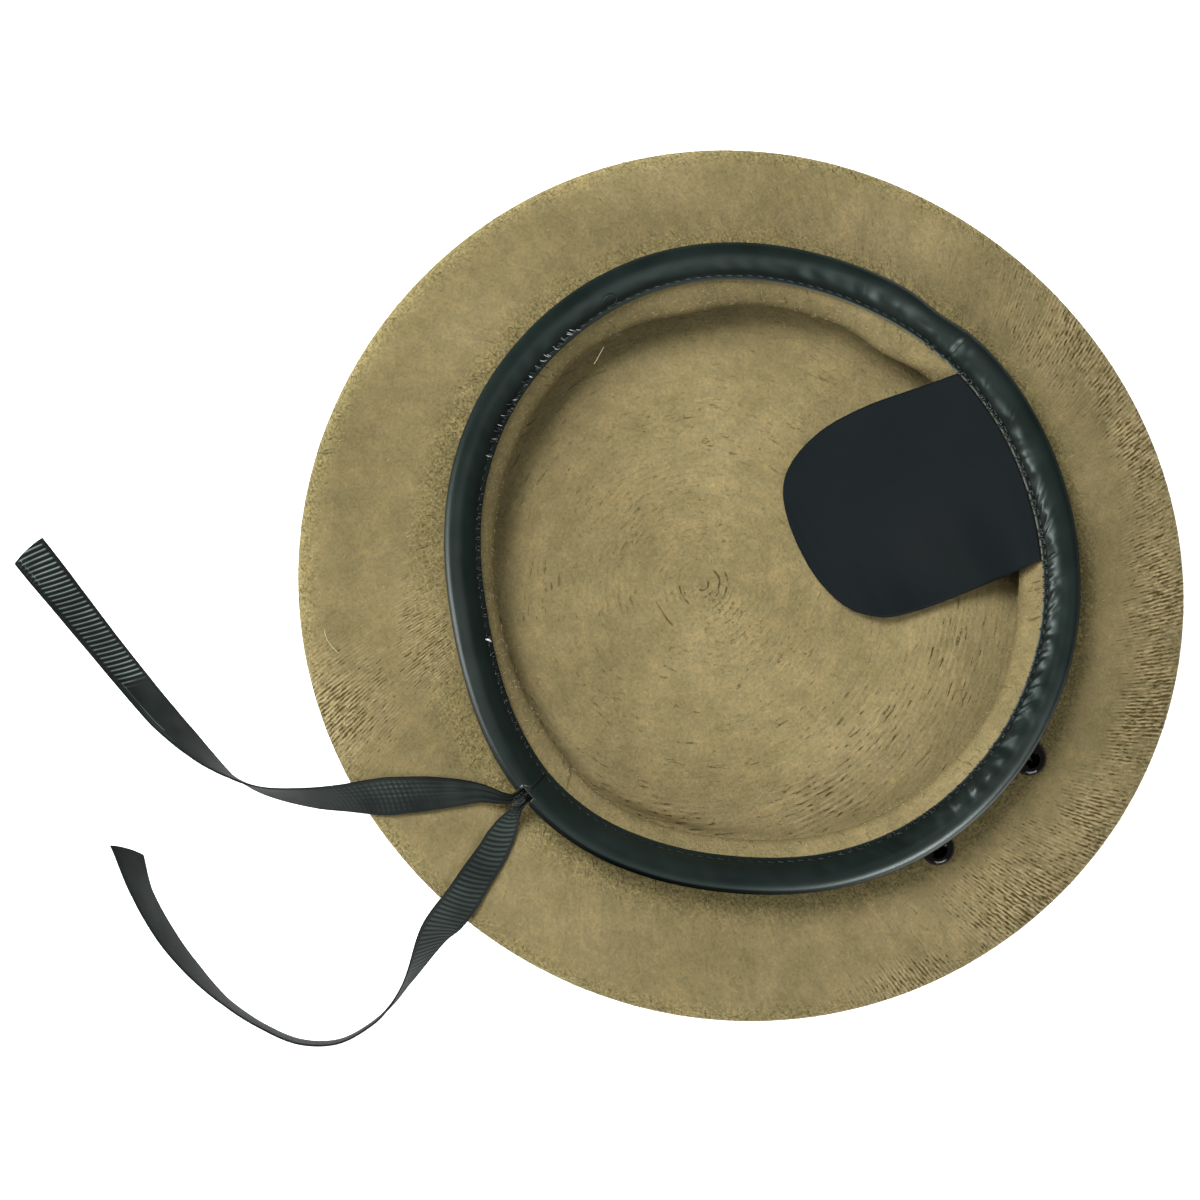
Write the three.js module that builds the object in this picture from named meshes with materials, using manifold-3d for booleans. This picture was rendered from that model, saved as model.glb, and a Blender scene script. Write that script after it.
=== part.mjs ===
// Military beret of knitted and fulled wool, lying on its crown with the head opening up.
// A leather binding edges the opening and holds a drawstring, which is tied off at the back.
// Millimetres. +Z is up, +Y points to the wearer's forehead and +X to the wearer's left.
// The origin is on the table, under the middle of the crown.

import * as THREE from 'three';
import { mergeVertices } from 'three/addons/utils/BufferGeometryUtils.js';
import Module from 'manifold-3d';

const wasm = await Module();
wasm.setup();

const radians = THREE.MathUtils.degToRad;

// Thicknesses and clearances
const FELT = 2;
const LEATHER = 1.1;
const STIFFENER = 1;
const RIBBON = 0.8;
const GAP = 0.3;

// Outlines, seen from above. The opening sits forward of the rim's centre.
const RIM_RADIUS = 136.2;
const RIM_Y = 0.4;
const OPENING_Y = 7.2;
const STITCH_RADIUS = 89.4;
const STITCH_HEIGHT = 25.2;
const FLARE = radians(34);
const STEPS_ROUND = 72;

// Neither outline is a true circle: each is pushed out by a few soft lobes, at these azimuths.
const RIM_LOBES = [
  { count: 2, size: 2.3, at: 16 },
  { count: 3, size: 0.4, at: 30 },
  { count: 4, size: 0.3, at: 48 },
];
const OPENING_LOBES = [
  { count: 2, size: 2.1, at: 162 },
  { count: 3, size: 1.2, at: 42 },
  { count: 4, size: 0.9, at: 2 },
  { count: 5, size: 0.4, at: 60 },
  { count: 6, size: 0.4, at: 33 },
];

// Middle line of the felt, from the centre of the crown, round the rim and in to the neck fold.
// opening is how far a point follows the head opening's outline instead of the rim's.
const FELT_LINE = [
  { r: 0, z: 1, opening: 0 },
  { r: 60, z: 1, opening: 0 },
  { r: 122, z: 1, opening: 0 },
  { r: 128.2, z: 1.8, opening: 0 },
  { r: 132.6, z: 4.4, opening: 0 },
  { r: 135, z: 8.2, opening: 0 },
  { r: 134.2, z: 12, opening: 0 },
  { r: 130.4, z: 14.6, opening: 0.1 },
  { r: 122, z: 16.2, opening: 0.25 },
  { r: 110, z: 17.6, opening: 0.5 },
  { r: 99, z: 18.2, opening: 0.75 },
  { r: 92, z: 17, opening: 0.85 },
  { r: 88, z: 15.5, opening: 0.85 },
  { r: 85.2, z: 14.9, opening: 0.85 },
  { r: 83.8, z: 15.7, opening: 0.85 },
  { r: 83.5, z: 17.2, opening: 0.85 },
  { r: 84.3, z: 18.9, opening: 0.88 },
  { r: 86.6, z: 22.4, opening: 0.94 },
];

// Middle line of the binding in the flared wall's own directions: along runs outward from the
// stitches, above stands off the felt towards the head. It covers the felt edge from both sides.
const BINDING_LINE = [
  { along: -0.2, above: 1.85 },
  { along: 1.6, above: 1.85 },
  { along: 4, above: 2.6 },
  { along: 6.8, above: 2.7 },
  { along: 9.2, above: 2.1 },
  { along: 10.5, above: 0.9 },
  { along: 10.6, above: -0.5 },
  { along: 9.7, above: -1.6 },
  { along: 8.2, above: -1.95 },
  { along: 4, above: -1.9 },
  { along: 0.5, above: -1.85 },
];
const FELT_IN_BINDING = 6.2;

// Section of the drawstring, bunched up in the tunnel between the felt edge and the fold.
const DRAWSTRING_SECTION = [
  { along: 6.6, above: -0.9 },
  { along: 8.9, above: -0.9 },
  { along: 9.6, above: 0 },
  { along: 8.9, above: 0.9 },
  { along: 6.6, above: 0.9 },
];

// The two ends of the binding meet at the back. They part in a rounded notch at the fold, where
// the ties come out. Depths are distances behind the origin.
const BACK_SEAM = { halfWidth: 0.25, innerDepth: 76, notchDepth: 86 };
const BACK_NOTCH = { halfWidth: 2.8, fullDepth: 88.5, outerDepth: 98 };
const DRAWSTRING_END = 2.7;

// Badge stiffener, row by row from its sewn edge down to its free end on the crown.
// left and right are measured from its own centre line, and reach from the opening's centre.
// The sewn edge stays inset from the binding's cut edge.
const STIFFENER_AZIMUTH = radians(74);
const STIFFENER_OFFSET = 6.3;
const STIFFENER_REACH = 84;
const STIFFENER_STRAIGHT = 30;
const STIFFENER_INSET = 0.45;
const STIFFENER_COLUMNS = 8;
const STIFFENER_ROWS = [
  { along: 0, left: -31.4, right: 31, z: 26.1 },
  { along: 15, left: -33.6, right: 30.8, z: 21.6 },
  { along: 30, left: -35.7, right: 30, z: 16.2 },
  { along: 44, left: -35.8, right: 28.2, z: 10.7 },
  { along: 54, left: -33.2, right: 25.6, z: 6.9 },
  { along: 61, left: -29, right: 20.5, z: 4.5 },
  { along: 65, left: -23.5, right: 14.5, z: 3.4 },
  { along: 67.5, left: -15, right: 6.5, z: 3 },
  { along: 68.4, left: -7, right: 0, z: 3 },
];

// Vent eyelets: grommets pressed through the felt beside the binding, over the wearer's left ear.
const EYELET_RADIUS = 101.8;
const EYELET_MIDDLE = 18;
const EYELET_HOLE = 3.3;
const EYELET_STEPS = 16;
const EYELETS = [
  { name: 'eyelet_front', azimuth: 11.7 },
  { name: 'eyelet_back', azimuth: -10.7 },
];
const EYELET_SECTION = [
  { r: 2.6, z: 2 },
  { r: 2.6, z: -1.8 },
  { r: 3.4, z: -2.3 },
  { r: 4.8, z: -2.1 },
  { r: 4.9, z: -1.5 },
  { r: EYELET_HOLE, z: -1.5 },
  { r: EYELET_HOLE, z: 1.5 },
  { r: 5.2, z: 1.5 },
  { r: 5.1, z: 2.1 },
  { r: 4.2, z: 2.7 },
  { r: 3.2, z: 2.7 },
];

// The two ties: the free ends of the drawstring's grosgrain ribbon, bunched where they come out.
// Each lies over the felt and the rim and on the table. lean turns it about its own length:
// 0 is flat, -90 on edge, and near -180 flat again with its other face up.
const RIBBON_WIDTH = 12;
const BUNCHED = 1.8;
const TIE_STEPS = 40;
const TIE_RIGHT = [
  { x: -1.25, y: -89.8, z: 29.3, width: 2.2, lean: 0 },
  { x: -1.4, y: -93.2, z: 28.6, width: 2.4, lean: 0 },
  { x: -2.1, y: -95.6, z: 26.4, width: 2.8, lean: 0 },
  { x: -4.6, y: -98, z: 23.2, width: 3.8, lean: 0 },
  { x: -9.6, y: -101.4, z: 20.8, width: 5.8, lean: 0 },
  { x: -14, y: -105.8, z: 19.8, width: 8.2, lean: 0 },
  { x: -20.4, y: -113, z: 18.8, width: 10.6, lean: 0 },
  { x: -27.9, y: -122, z: 17.6, width: 12, lean: -6 },
  { x: -32.6, y: -127.6, z: 16.5, width: 12, lean: -26 },
  { x: -37, y: -132.8, z: 13.8, width: 12, lean: -42 },
  { x: -44.1, y: -140.5, z: 9.4, width: 12, lean: -56 },
  { x: -54.3, y: -149, z: 6.5, width: 12, lean: -74 },
  { x: -61.7, y: -153, z: 6.5, width: 12, lean: -84 },
  { x: -67, y: -154.8, z: 6.5, width: 12, lean: -90 },
  { x: -75.9, y: -156.3, z: 6.3, width: 12, lean: -108 },
  { x: -85.2, y: -157, z: 5.7, width: 12, lean: -122 },
  { x: -95.5, y: -157.2, z: 5.2, width: 12, lean: -132 },
  { x: -110.5, y: -156.3, z: 4.9, width: 12, lean: -136 },
  { x: -125.5, y: -155.1, z: 4.6, width: 12, lean: -140 },
  { x: -142.9, y: -153.6, z: 3.8, width: 12, lean: -150 },
  { x: -161.9, y: -152.1, z: 1.9, width: 12, lean: -171 },
];
const TIE_LEFT = [
  { x: 1.25, y: -89.8, z: 29.3, width: 2.2, lean: 0 },
  { x: 1.35, y: -93.4, z: 28.5, width: 2.4, lean: 0 },
  { x: 1.6, y: -96, z: 25.8, width: 2.6, lean: 0 },
  { x: 2.2, y: -98.8, z: 22.8, width: 4, lean: 0 },
  { x: 3.2, y: -102.6, z: 20.6, width: 6.4, lean: 0 },
  { x: 4.6, y: -107, z: 19.6, width: 8.4, lean: 0 },
  { x: 6.2, y: -112, z: 19, width: 9.5, lean: 0 },
  { x: 8.2, y: -120.8, z: 18, width: 10.3, lean: 0 },
  { x: 10.1, y: -128.4, z: 17, width: 11, lean: -6 },
  { x: 11.3, y: -136.4, z: 13.9, width: 11.6, lean: -20 },
  { x: 12.3, y: -142.7, z: 10.6, width: 12, lean: -42 },
  { x: 14.3, y: -149.4, z: 7.9, width: 12, lean: -60 },
  { x: 16, y: -154.8, z: 6.8, width: 12, lean: -72 },
  { x: 17.5, y: -160.5, z: 6.5, width: 12, lean: -82 },
  { x: 19, y: -167.7, z: 6.5, width: 12, lean: -87 },
  { x: 19.2, y: -174.8, z: 6.5, width: 12, lean: -90 },
  { x: 16, y: -187.3, z: 6.5, width: 12, lean: -90 },
  { x: 7.7, y: -196.3, z: 6.5, width: 12, lean: -90 },
  { x: -4.4, y: -201.6, z: 6.5, width: 12, lean: -90 },
  { x: -17.5, y: -204.5, z: 6.5, width: 12, lean: -93 },
  { x: -31, y: -205, z: 6.4, width: 12, lean: -104 },
  { x: -44.6, y: -203.8, z: 6.2, width: 12, lean: -111 },
  { x: -59.7, y: -200, z: 6.1, width: 12, lean: -114 },
  { x: -72.9, y: -194.2, z: 5.4, width: 12, lean: -128 },
];

// How far an outline stands outside its mean circle at an azimuth in radians.
function bulge(lobes, azimuth) {
  const lobe = ({ count, size, at }) => size * Math.cos(count * (azimuth - radians(at)));
  return lobes.reduce((sum, each) => sum + lobe(each), 0);
}

// A point of the flared wall, as a radius from the opening's centre and a height.
function onFlare({ along, above }) {
  return {
    r: STITCH_RADIUS + along * Math.cos(FLARE) - above * Math.sin(FLARE),
    z: STITCH_HEIGHT + along * Math.sin(FLARE) + above * Math.cos(FLARE),
    opening: 1,
  };
}

// Gives a middle line its thickness: out along its right-hand side, then back along its left.
function sheet(line, thickness) {
  const rightward = (from, to) => new THREE.Vector2(to.z - from.z, from.r - to.r).normalize();
  const last = line.length - 1;
  const face = (side) => line.map((row, i) => {
    const before = rightward(line[Math.max(i, 1) - 1], line[Math.max(i, 1)]);
    const after = rightward(line[Math.min(i, last - 1)], line[Math.min(i, last - 1) + 1]);
    const mitre = before.clone().add(after).divideScalar(1 + before.dot(after));
    const step = side * thickness / 2;
    return { r: row.r + step * mitre.x, z: row.z + step * mitre.y, opening: row.opening };
  });
  return [...face(1), ...face(-1).reverse()];
}

// Turns a section once round and sets each point on the rim's or the opening's outline.
function turned(section) {
  const outline = section.map(({ r, z }) => new THREE.Vector2(r, z));
  const geometry = new THREE.LatheGeometry(outline, STEPS_ROUND);
  const position = geometry.attributes.position;
  for (let k = 0; k < position.count; k += 1) {
    const { r, z, opening } = section[k % section.length];
    const azimuth = 2 * Math.PI * Math.floor(k / section.length) / STEPS_ROUND;
    const rimPart = bulge(RIM_LOBES, azimuth) * (1 - opening) * r / RIM_RADIUS;
    const radius = r + rimPart + bulge(OPENING_LOBES, azimuth) * opening;
    const y = THREE.MathUtils.lerp(RIM_Y, OPENING_Y, opening) + radius * Math.sin(azimuth);
    position.setXYZ(k, radius * Math.cos(azimuth), y, z);
  }
  return geometry;
}

// A ring's section ends where it starts.
function closed(section) {
  return [...section, section[0]];
}

function asSolid(geometry) {
  const bare = new THREE.BufferGeometry().setAttribute('position', geometry.attributes.position);
  const merged = mergeVertices(bare.setIndex(geometry.index), 1e-4);
  return new wasm.Manifold(new wasm.Mesh({
    numProp: 3,
    vertProperties: merged.attributes.position.array,
    triVerts: new Uint32Array(merged.index.array),
  }));
}

function asGeometry(solid) {
  const { vertProperties, triVerts } = solid.getMesh();
  const geometry = new THREE.BufferGeometry();
  geometry.setAttribute('position', new THREE.BufferAttribute(vertProperties, 3));
  geometry.setIndex(new THREE.BufferAttribute(triVerts, 1));
  geometry.computeVertexNormals();
  return geometry;
}

// An upright prism over an outline, tall enough to cut right through the binding.
function prism(outline) {
  const depth = 30;
  const geometry = new THREE.ExtrudeGeometry(new THREE.Shape(outline), { depth, bevelEnabled: false });
  return geometry.translate(0, 0, STITCH_HEIGHT - depth / 2);
}

function eyeletPlace(azimuth) {
  const turn = radians(azimuth);
  return new THREE.Vector3(
    EYELET_RADIUS * Math.cos(turn),
    OPENING_Y + EYELET_RADIUS * Math.sin(turn),
    EYELET_MIDDLE,
  );
}

function feltBody() {
  const wall = [onFlare({ along: 0, above: 0 }), onFlare({ along: FELT_IN_BINDING, above: 0 })];
  const felt = asSolid(turned(sheet([...FELT_LINE, ...wall], FELT)));
  const holes = EYELETS.map(({ azimuth }) => {
    const hole = new THREE.CylinderGeometry(EYELET_HOLE + GAP, EYELET_HOLE + GAP, 4 * FELT, EYELET_STEPS);
    const { x, y, z } = eyeletPlace(azimuth);
    return asSolid(hole.rotateX(Math.PI / 2).translate(x, y, z));
  });
  return asGeometry(holes.reduce((pierced, hole) => pierced.subtract(hole), felt));
}

function leatherBinding() {
  const ring = asSolid(turned(closed(sheet(BINDING_LINE.map(onFlare), LEATHER))));
  const { halfWidth, innerDepth, notchDepth } = BACK_SEAM;
  const side = new THREE.QuadraticBezierCurve(
    new THREE.Vector2(halfWidth, -notchDepth),
    new THREE.Vector2(BACK_NOTCH.halfWidth, -notchDepth),
    new THREE.Vector2(BACK_NOTCH.halfWidth, -BACK_NOTCH.fullDepth),
  ).getPoints(4);
  const right = [
    new THREE.Vector2(halfWidth, -innerDepth),
    ...side,
    new THREE.Vector2(BACK_NOTCH.halfWidth, -BACK_NOTCH.outerDepth),
  ];
  const left = right.map(({ x, y }) => new THREE.Vector2(-x, y)).reverse();
  return asGeometry(ring.subtract(asSolid(prism([...left, ...right]))));
}

function drawstring() {
  const ring = asSolid(turned(closed(DRAWSTRING_SECTION.map(onFlare))));
  const opening = [
    new THREE.Vector2(-DRAWSTRING_END, -BACK_NOTCH.outerDepth),
    new THREE.Vector2(DRAWSTRING_END, -BACK_NOTCH.outerDepth),
    new THREE.Vector2(DRAWSTRING_END, -BACK_SEAM.innerDepth),
    new THREE.Vector2(-DRAWSTRING_END, -BACK_SEAM.innerDepth),
  ];
  return asGeometry(ring.subtract(asSolid(prism(opening))));
}

// A thin sheet whose rows start concentric with the opening and straighten towards the free end.
function badgeStiffener() {
  const rows = STIFFENER_ROWS.length - 1;
  const geometry = new THREE.BoxGeometry(1, 1, 1, STIFFENER_COLUMNS, rows, 1);
  const position = geometry.attributes.position;
  const { along: cutEdge, above: leaf } = BINDING_LINE[0];
  const edge = onFlare({ along: cutEdge, above: leaf + LEATHER / 2 }).r - STIFFENER_INSET;
  for (let k = 0; k < position.count; k += 1) {
    const { along, left, right, z } = STIFFENER_ROWS[Math.round((0.5 - position.getY(k)) * rows)];
    const across = STIFFENER_OFFSET + THREE.MathUtils.lerp(left, right, position.getX(k) + 0.5);
    const azimuth = STIFFENER_AZIMUTH - Math.asin(across / edge);
    const radius = edge + bulge(OPENING_LOBES, azimuth);
    const arc = Math.sqrt(radius ** 2 - across ** 2);
    const straightened = THREE.MathUtils.smoothstep(along, 0, STIFFENER_STRAIGHT);
    const outward = THREE.MathUtils.lerp(arc, STIFFENER_REACH, straightened) - along;
    position.setXYZ(
      k,
      outward * Math.cos(STIFFENER_AZIMUTH) + across * Math.sin(STIFFENER_AZIMUTH),
      OPENING_Y + outward * Math.sin(STIFFENER_AZIMUTH) - across * Math.cos(STIFFENER_AZIMUTH),
      z + position.getZ(k) * STIFFENER,
    );
  }
  return geometry;
}

function eyelet() {
  const outline = closed(EYELET_SECTION).map(({ r, z }) => new THREE.Vector2(r, z));
  return new THREE.LatheGeometry(outline, EYELET_STEPS).rotateX(Math.PI / 2);
}

// Bends a long box along a tie's route, narrowed, thickened and turned as its rows say.
function tie(rows) {
  const route = new THREE.CatmullRomCurve3(rows.map(({ x, y, z }) => new THREE.Vector3(x, y, z)));
  const geometry = new THREE.BoxGeometry(1, 1, 1, 1, 1, TIE_STEPS);
  const position = geometry.attributes.position;
  const up = new THREE.Vector3(0, 0, 1);
  for (let k = 0; k < position.count; k += 1) {
    const share = position.getZ(k) + 0.5;
    const row = Math.min(Math.floor(share * (rows.length - 1)), rows.length - 2);
    const between = share * (rows.length - 1) - row;
    const width = THREE.MathUtils.lerp(rows[row].width, rows[row + 1].width, between);
    const lean = radians(THREE.MathUtils.lerp(rows[row].lean, rows[row + 1].lean, between));
    const thickness = Math.min(RIBBON * RIBBON_WIDTH / width, BUNCHED);
    const along = route.getTangent(share);
    const across = up.clone().cross(along).normalize().applyAxisAngle(along, lean);
    const face = along.clone().cross(across);
    const point = route.getPoint(share)
      .addScaledVector(across, width * position.getX(k))
      .addScaledVector(face, thickness * position.getY(k));
    position.setXYZ(k, point.x, point.y, point.z);
  }
  return geometry;
}

// A piece in its own material, under the name of its node.
function piece(name, geometry, color, roughness, metalness = 0) {
  const material = new THREE.MeshStandardMaterial({ color, roughness, metalness });
  const mesh = new THREE.Mesh(geometry, material);
  mesh.name = name;
  return mesh;
}

const beret = new THREE.Group();
beret.add(
  piece('felt_body', feltBody(), 0x96875f, 0.95),
  piece('leather_binding', leatherBinding(), 0x22282a, 0.4),
  piece('drawstring', drawstring(), 0x1d2120, 0.7),
  piece('badge_stiffener', badgeStiffener(), 0x24292d, 0.8),
  piece('tie_right', tie(TIE_RIGHT), 0x262b2a, 0.65),
  piece('tie_left', tie(TIE_LEFT), 0x262b2a, 0.65),
);
for (const { name, azimuth } of EYELETS) {
  const grommet = piece(name, eyelet(), 0x0c0d0e, 0.25, 0.3);
  grommet.position.copy(eyeletPlace(azimuth));
  beret.add(grommet);
}

export default beret;
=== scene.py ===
import math

import bpy
import numpy as np
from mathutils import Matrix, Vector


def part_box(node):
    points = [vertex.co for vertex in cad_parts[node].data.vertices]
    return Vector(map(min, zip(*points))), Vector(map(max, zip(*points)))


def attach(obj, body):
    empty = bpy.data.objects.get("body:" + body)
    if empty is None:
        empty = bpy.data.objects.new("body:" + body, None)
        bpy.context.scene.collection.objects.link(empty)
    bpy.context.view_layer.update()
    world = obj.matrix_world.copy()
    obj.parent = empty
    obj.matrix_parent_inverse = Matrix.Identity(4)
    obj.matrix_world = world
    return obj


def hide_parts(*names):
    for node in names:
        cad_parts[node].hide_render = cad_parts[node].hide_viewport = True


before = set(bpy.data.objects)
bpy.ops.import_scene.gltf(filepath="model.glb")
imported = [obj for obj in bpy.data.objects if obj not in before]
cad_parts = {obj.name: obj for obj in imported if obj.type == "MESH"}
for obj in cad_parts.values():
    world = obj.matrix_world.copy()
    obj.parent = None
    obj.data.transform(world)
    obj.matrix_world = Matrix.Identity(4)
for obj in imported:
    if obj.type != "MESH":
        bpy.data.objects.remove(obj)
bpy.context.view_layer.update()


# The view: a long lens that looks straight down into the open hat from 1.2 m up, turned so that the
# back of the hat, with its ties, lies at the lower left.
MM = 0.001
VIEW_HEIGHT = 1200 * MM
VIEW_FOOT = (-27.1 * MM, -33.8 * MM)
VIEW_TURN = math.radians(46.2)
VIEW_LENS = 115

camera = bpy.data.objects.new("view", bpy.data.cameras.new("view"))
camera.location = (*VIEW_FOOT, VIEW_HEIGHT)
camera.rotation_euler = (0, 0, VIEW_TURN)
camera.data.lens = VIEW_LENS
bpy.context.scene.collection.objects.link(camera)
bpy.context.scene.camera = camera


# The ties: the two free ends of the drawstring, a black rayon grosgrain ribbon 12 mm wide. They
# come out bunched through the notch at the back of the binding, open out and twist as they lie.
# Columns: place and width in mm, and lean in degrees about the ribbon's own length.
TIE_RIGHT = [
    (-1.25, -89.8, 29.3, 2.2, 0), (-1.4, -93.2, 28.6, 2.4, 0), (-2.1, -95.6, 26.4, 2.8, 0),
    (-4.6, -98, 23.2, 3.8, 0), (-9.6, -101.4, 20.8, 5.8, 0), (-14, -105.8, 19.8, 8.2, 0),
    (-20.4, -113, 18.8, 10.6, 0), (-27.9, -122, 17.6, 12, -6), (-32.6, -127.6, 16.5, 12, -26),
    (-37, -132.8, 13.8, 12, -42), (-44.1, -140.5, 9.4, 12, -56), (-54.3, -149, 6.5, 12, -74),
    (-61.7, -153, 6.5, 12, -84), (-67, -154.8, 6.5, 12, -90), (-75.9, -156.3, 6.3, 12, -108),
    (-85.2, -157, 5.7, 12, -122), (-95.5, -157.2, 5.2, 12, -132), (-110.5, -156.3, 4.9, 12, -136),
    (-125.5, -155.1, 4.6, 12, -140), (-142.9, -153.6, 3.8, 12, -150), (-161.9, -152.1, 1.9, 12, -171),
]
TIE_LEFT = [
    (1.25, -89.8, 29.3, 2.2, 0), (1.35, -93.4, 28.5, 2.4, 0), (1.6, -96, 25.8, 2.6, 0),
    (2.2, -98.8, 22.8, 4.4, 0), (3.2, -102.6, 20.6, 7, 0), (4.6, -107, 19.6, 8.8, 0),
    (6.2, -112, 19, 9.5, 0), (8.2, -120.8, 18, 10.3, 0), (10.1, -128.4, 17, 11, -6),
    (11.3, -136.4, 13.9, 11.6, -20), (12.3, -142.7, 10.6, 12, -42), (14.3, -149.4, 7.9, 12, -60),
    (16, -154.8, 6.8, 12, -72), (17.5, -160.5, 6.5, 12, -82), (19, -167.7, 6.5, 12, -87),
    (19.2, -174.8, 6.5, 12, -90), (16, -187.3, 6.5, 12, -90), (7.7, -196.3, 6.5, 12, -90),
    (-4.4, -201.6, 6.5, 12, -90), (-17.5, -204.5, 6.5, 12, -93), (-31, -205, 6.4, 12, -104),
    (-44.6, -203.8, 6.2, 12, -111), (-59.7, -200, 6.1, 12, -114), (-72.9, -194.2, 5.4, 12, -128),
]
RIBBON_WIDTH = 12 * MM
RIBBON_THICK = 0.5 * MM
RIBBON_STEP = 0.28 * MM
RIBBON_COLUMNS = 28
RIB_PITCH = 1.68 * MM
RIB_HEIGHT = 0.26 * MM
RIB_SKEW = 0.3
SELVEDGE = 1.6 * MM
CREASES = 8
BUNCHED_WIDTH = 2.2 * MM
TAIL_LENGTH = 14 * MM
LEAST_HEIGHT = 0.05 * MM  # no point of a tie lies lower over the table
# How strong the ribs and the lengthwise creases are, by distance from the binding in millimetres.
RIGHT_FINISH = [
    (0, 0, 0.3), (22, 0, 0.3), (27, 0, 1), (37, 0.2, 1), (42, 0.5, 1), (56, 0.4, 0.8), (66, 0.1, 0.2),
    (74, 0, 0), (118, 0, 0), (140, 0, 0), (143, 1, 0), (200, 1, 0),
]
LEFT_FINISH = [
    (0, 0, 0.3), (5, 0.5, 0.1), (10, 1, 0), (58, 1, 0), (70, 0.5, 0), (82, 0, 0), (200, 0, 0),
]
# Loose warp threads, drawn only as glints painted into the ribbon's colour. Columns: place across
# from -0.5 to 0.5, start and end of the thread in mm from the binding, and how far it is broken up
# into dots.
RIGHT_THREADS = [
    (-0.44, 119, 147, 0.2), (-0.35, 124, 144, 0), (-0.43, 184, 194, 1), (-0.32, 184, 194, 0.3),
    (-0.24, 190, 194, 1), (0.3, 122, 126, 1),
]
THREAD_HALF = 0.022  # as a share of the ribbon's width
DOT_PITCH = 1.1  # in mm, as the distances are


def srgb(code):
    """A hex colour as the linear colour that a shader takes."""
    shares = [int(code[k:k + 2], 16) / 255 for k in (1, 3, 5)]
    return (*(c / 12.92 if c <= 0.04045 else ((c + 0.055) / 1.055) ** 2.4 for c in shares), 1)


def add(tree, kind, inputs=(), stops=(), out=0, **settings):
    """Adds a node with its settings and links, and gives one of its outputs.

    inputs holds plain values and other nodes' outputs, in the order of the sockets or by socket.
    """
    made = tree.nodes.new("ShaderNode" + kind)
    for key, value in settings.items():
        setattr(made, key, value)
    for key, value in (inputs if isinstance(inputs, dict) else dict(enumerate(inputs))).items():
        if isinstance(value, bpy.types.NodeSocket):
            tree.links.new(value, made.inputs[key])
        else:
            made.inputs[key].default_value = value
    for k, (place, code) in enumerate(stops):
        elements = made.color_ramp.elements
        stop = elements[k] if k < 2 else elements.new(place)
        stop.position = place
        stop.color = srgb(code)
    return made.outputs[out] if made.outputs else made


def new_material(name):
    """A material and its node tree, which starts empty."""
    made = bpy.data.materials.new(name)
    made.use_nodes = True
    made.node_tree.nodes.clear()
    return made, made.node_tree


def smoothstep(value, low, high):
    """0 below low, 1 above high, and a soft step between them."""
    share = np.clip((value - low) / (high - low), 0, 1)
    return share * share * (3 - 2 * share)


def along_curve(rows, step):
    """Rows laid evenly, step apart, on the centripetal curve through the given rows' places."""
    rows = np.array(rows, float)
    padded = np.vstack([2 * rows[0] - rows[1], rows, 2 * rows[-1] - rows[-2]])
    share = np.linspace(0, 1, 24, endpoint=False)[:, None]
    found = []
    for a, b, c, d in zip(padded, padded[1:], padded[2:], padded[3:]):
        t0, t1, t2 = (math.sqrt(np.linalg.norm(q[:3] - p[:3])) for p, q in ((a, b), (b, c), (c, d)))
        leave = (b - a) / t0 - (c - a) / (t0 + t1) + (c - b) / t1
        arrive = (c - b) / t1 - (d - b) / (t1 + t2) + (d - c) / t2
        curve = (
            b + share * t1 * leave
            + share**2 * (3 * (c - b) - t1 * (2 * leave + arrive))
            + share**3 * (2 * (b - c) + t1 * (leave + arrive))
        )
        curve[:, 3:] = b[3:] + share * (c - b)[3:]
        found.append(curve)
    found = np.vstack([*found, rows[-1:]])
    run = np.r_[0, np.cumsum(np.linalg.norm(np.diff(found[:, :3], axis=0), axis=1))]
    even = np.linspace(0, run[-1], max(2, round(run[-1] / step) + 1))
    return even, np.array([np.interp(even, run, column) for column in found.T]).T


def unit(vectors):
    """The same directions, each one long."""
    return vectors / np.linalg.norm(vectors, axis=-1, keepdims=True)


def tube_faces(rings, around, first=0, closed=False):
    """Faces of a skin over rings of points, with flat ends or closed on itself."""
    ring = np.arange(rings if closed else rings - 1)[:, None]
    k = np.arange(around)[None, :]
    here = first + ring * around
    there = first + (ring + 1) % rings * around
    on = (k + 1) % around
    faces = np.stack([here + k, here + on, there + on, there + k], -1).reshape(-1, 4).tolist()
    if not closed:
        faces.append(list(range(first + around - 1, first - 1, -1)))
        faces.append(list(range(first + (rings - 1) * around, first + rings * around)))
    return faces


def turned_out(points, faces):
    """The faces, reversed if they would face into the solid."""
    corners = np.array([(f[0], f[k], f[k + 1]) for f in faces for k in range(1, len(f) - 1)])
    a, b, c = (points[corners[:, k]] for k in range(3))
    inward = np.einsum("ij,ij->", a, np.cross(b, c)) < 0
    return [f[::-1] for f in faces] if inward else faces


def make_piece(name, points, faces, material):
    """Adds a piece that is fixed to the hat, with its material and the slot of its finish."""
    mesh = bpy.data.meshes.new(name)
    mesh.from_pydata(np.asarray(points).tolist(), [], faces)
    mesh.shade_smooth()
    mesh.materials.append(material)
    piece = bpy.data.objects.new(name, mesh)
    bpy.context.scene.collection.objects.link(piece)
    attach(piece, "root")
    return piece


def keep(piece, name, values):
    """Keeps a number for each point of a piece, for its material to read."""
    kept = piece.data.attributes.new(name, "FLOAT", "POINT")
    kept.data.foreach_set("value", np.asarray(values, float).ravel())
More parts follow.
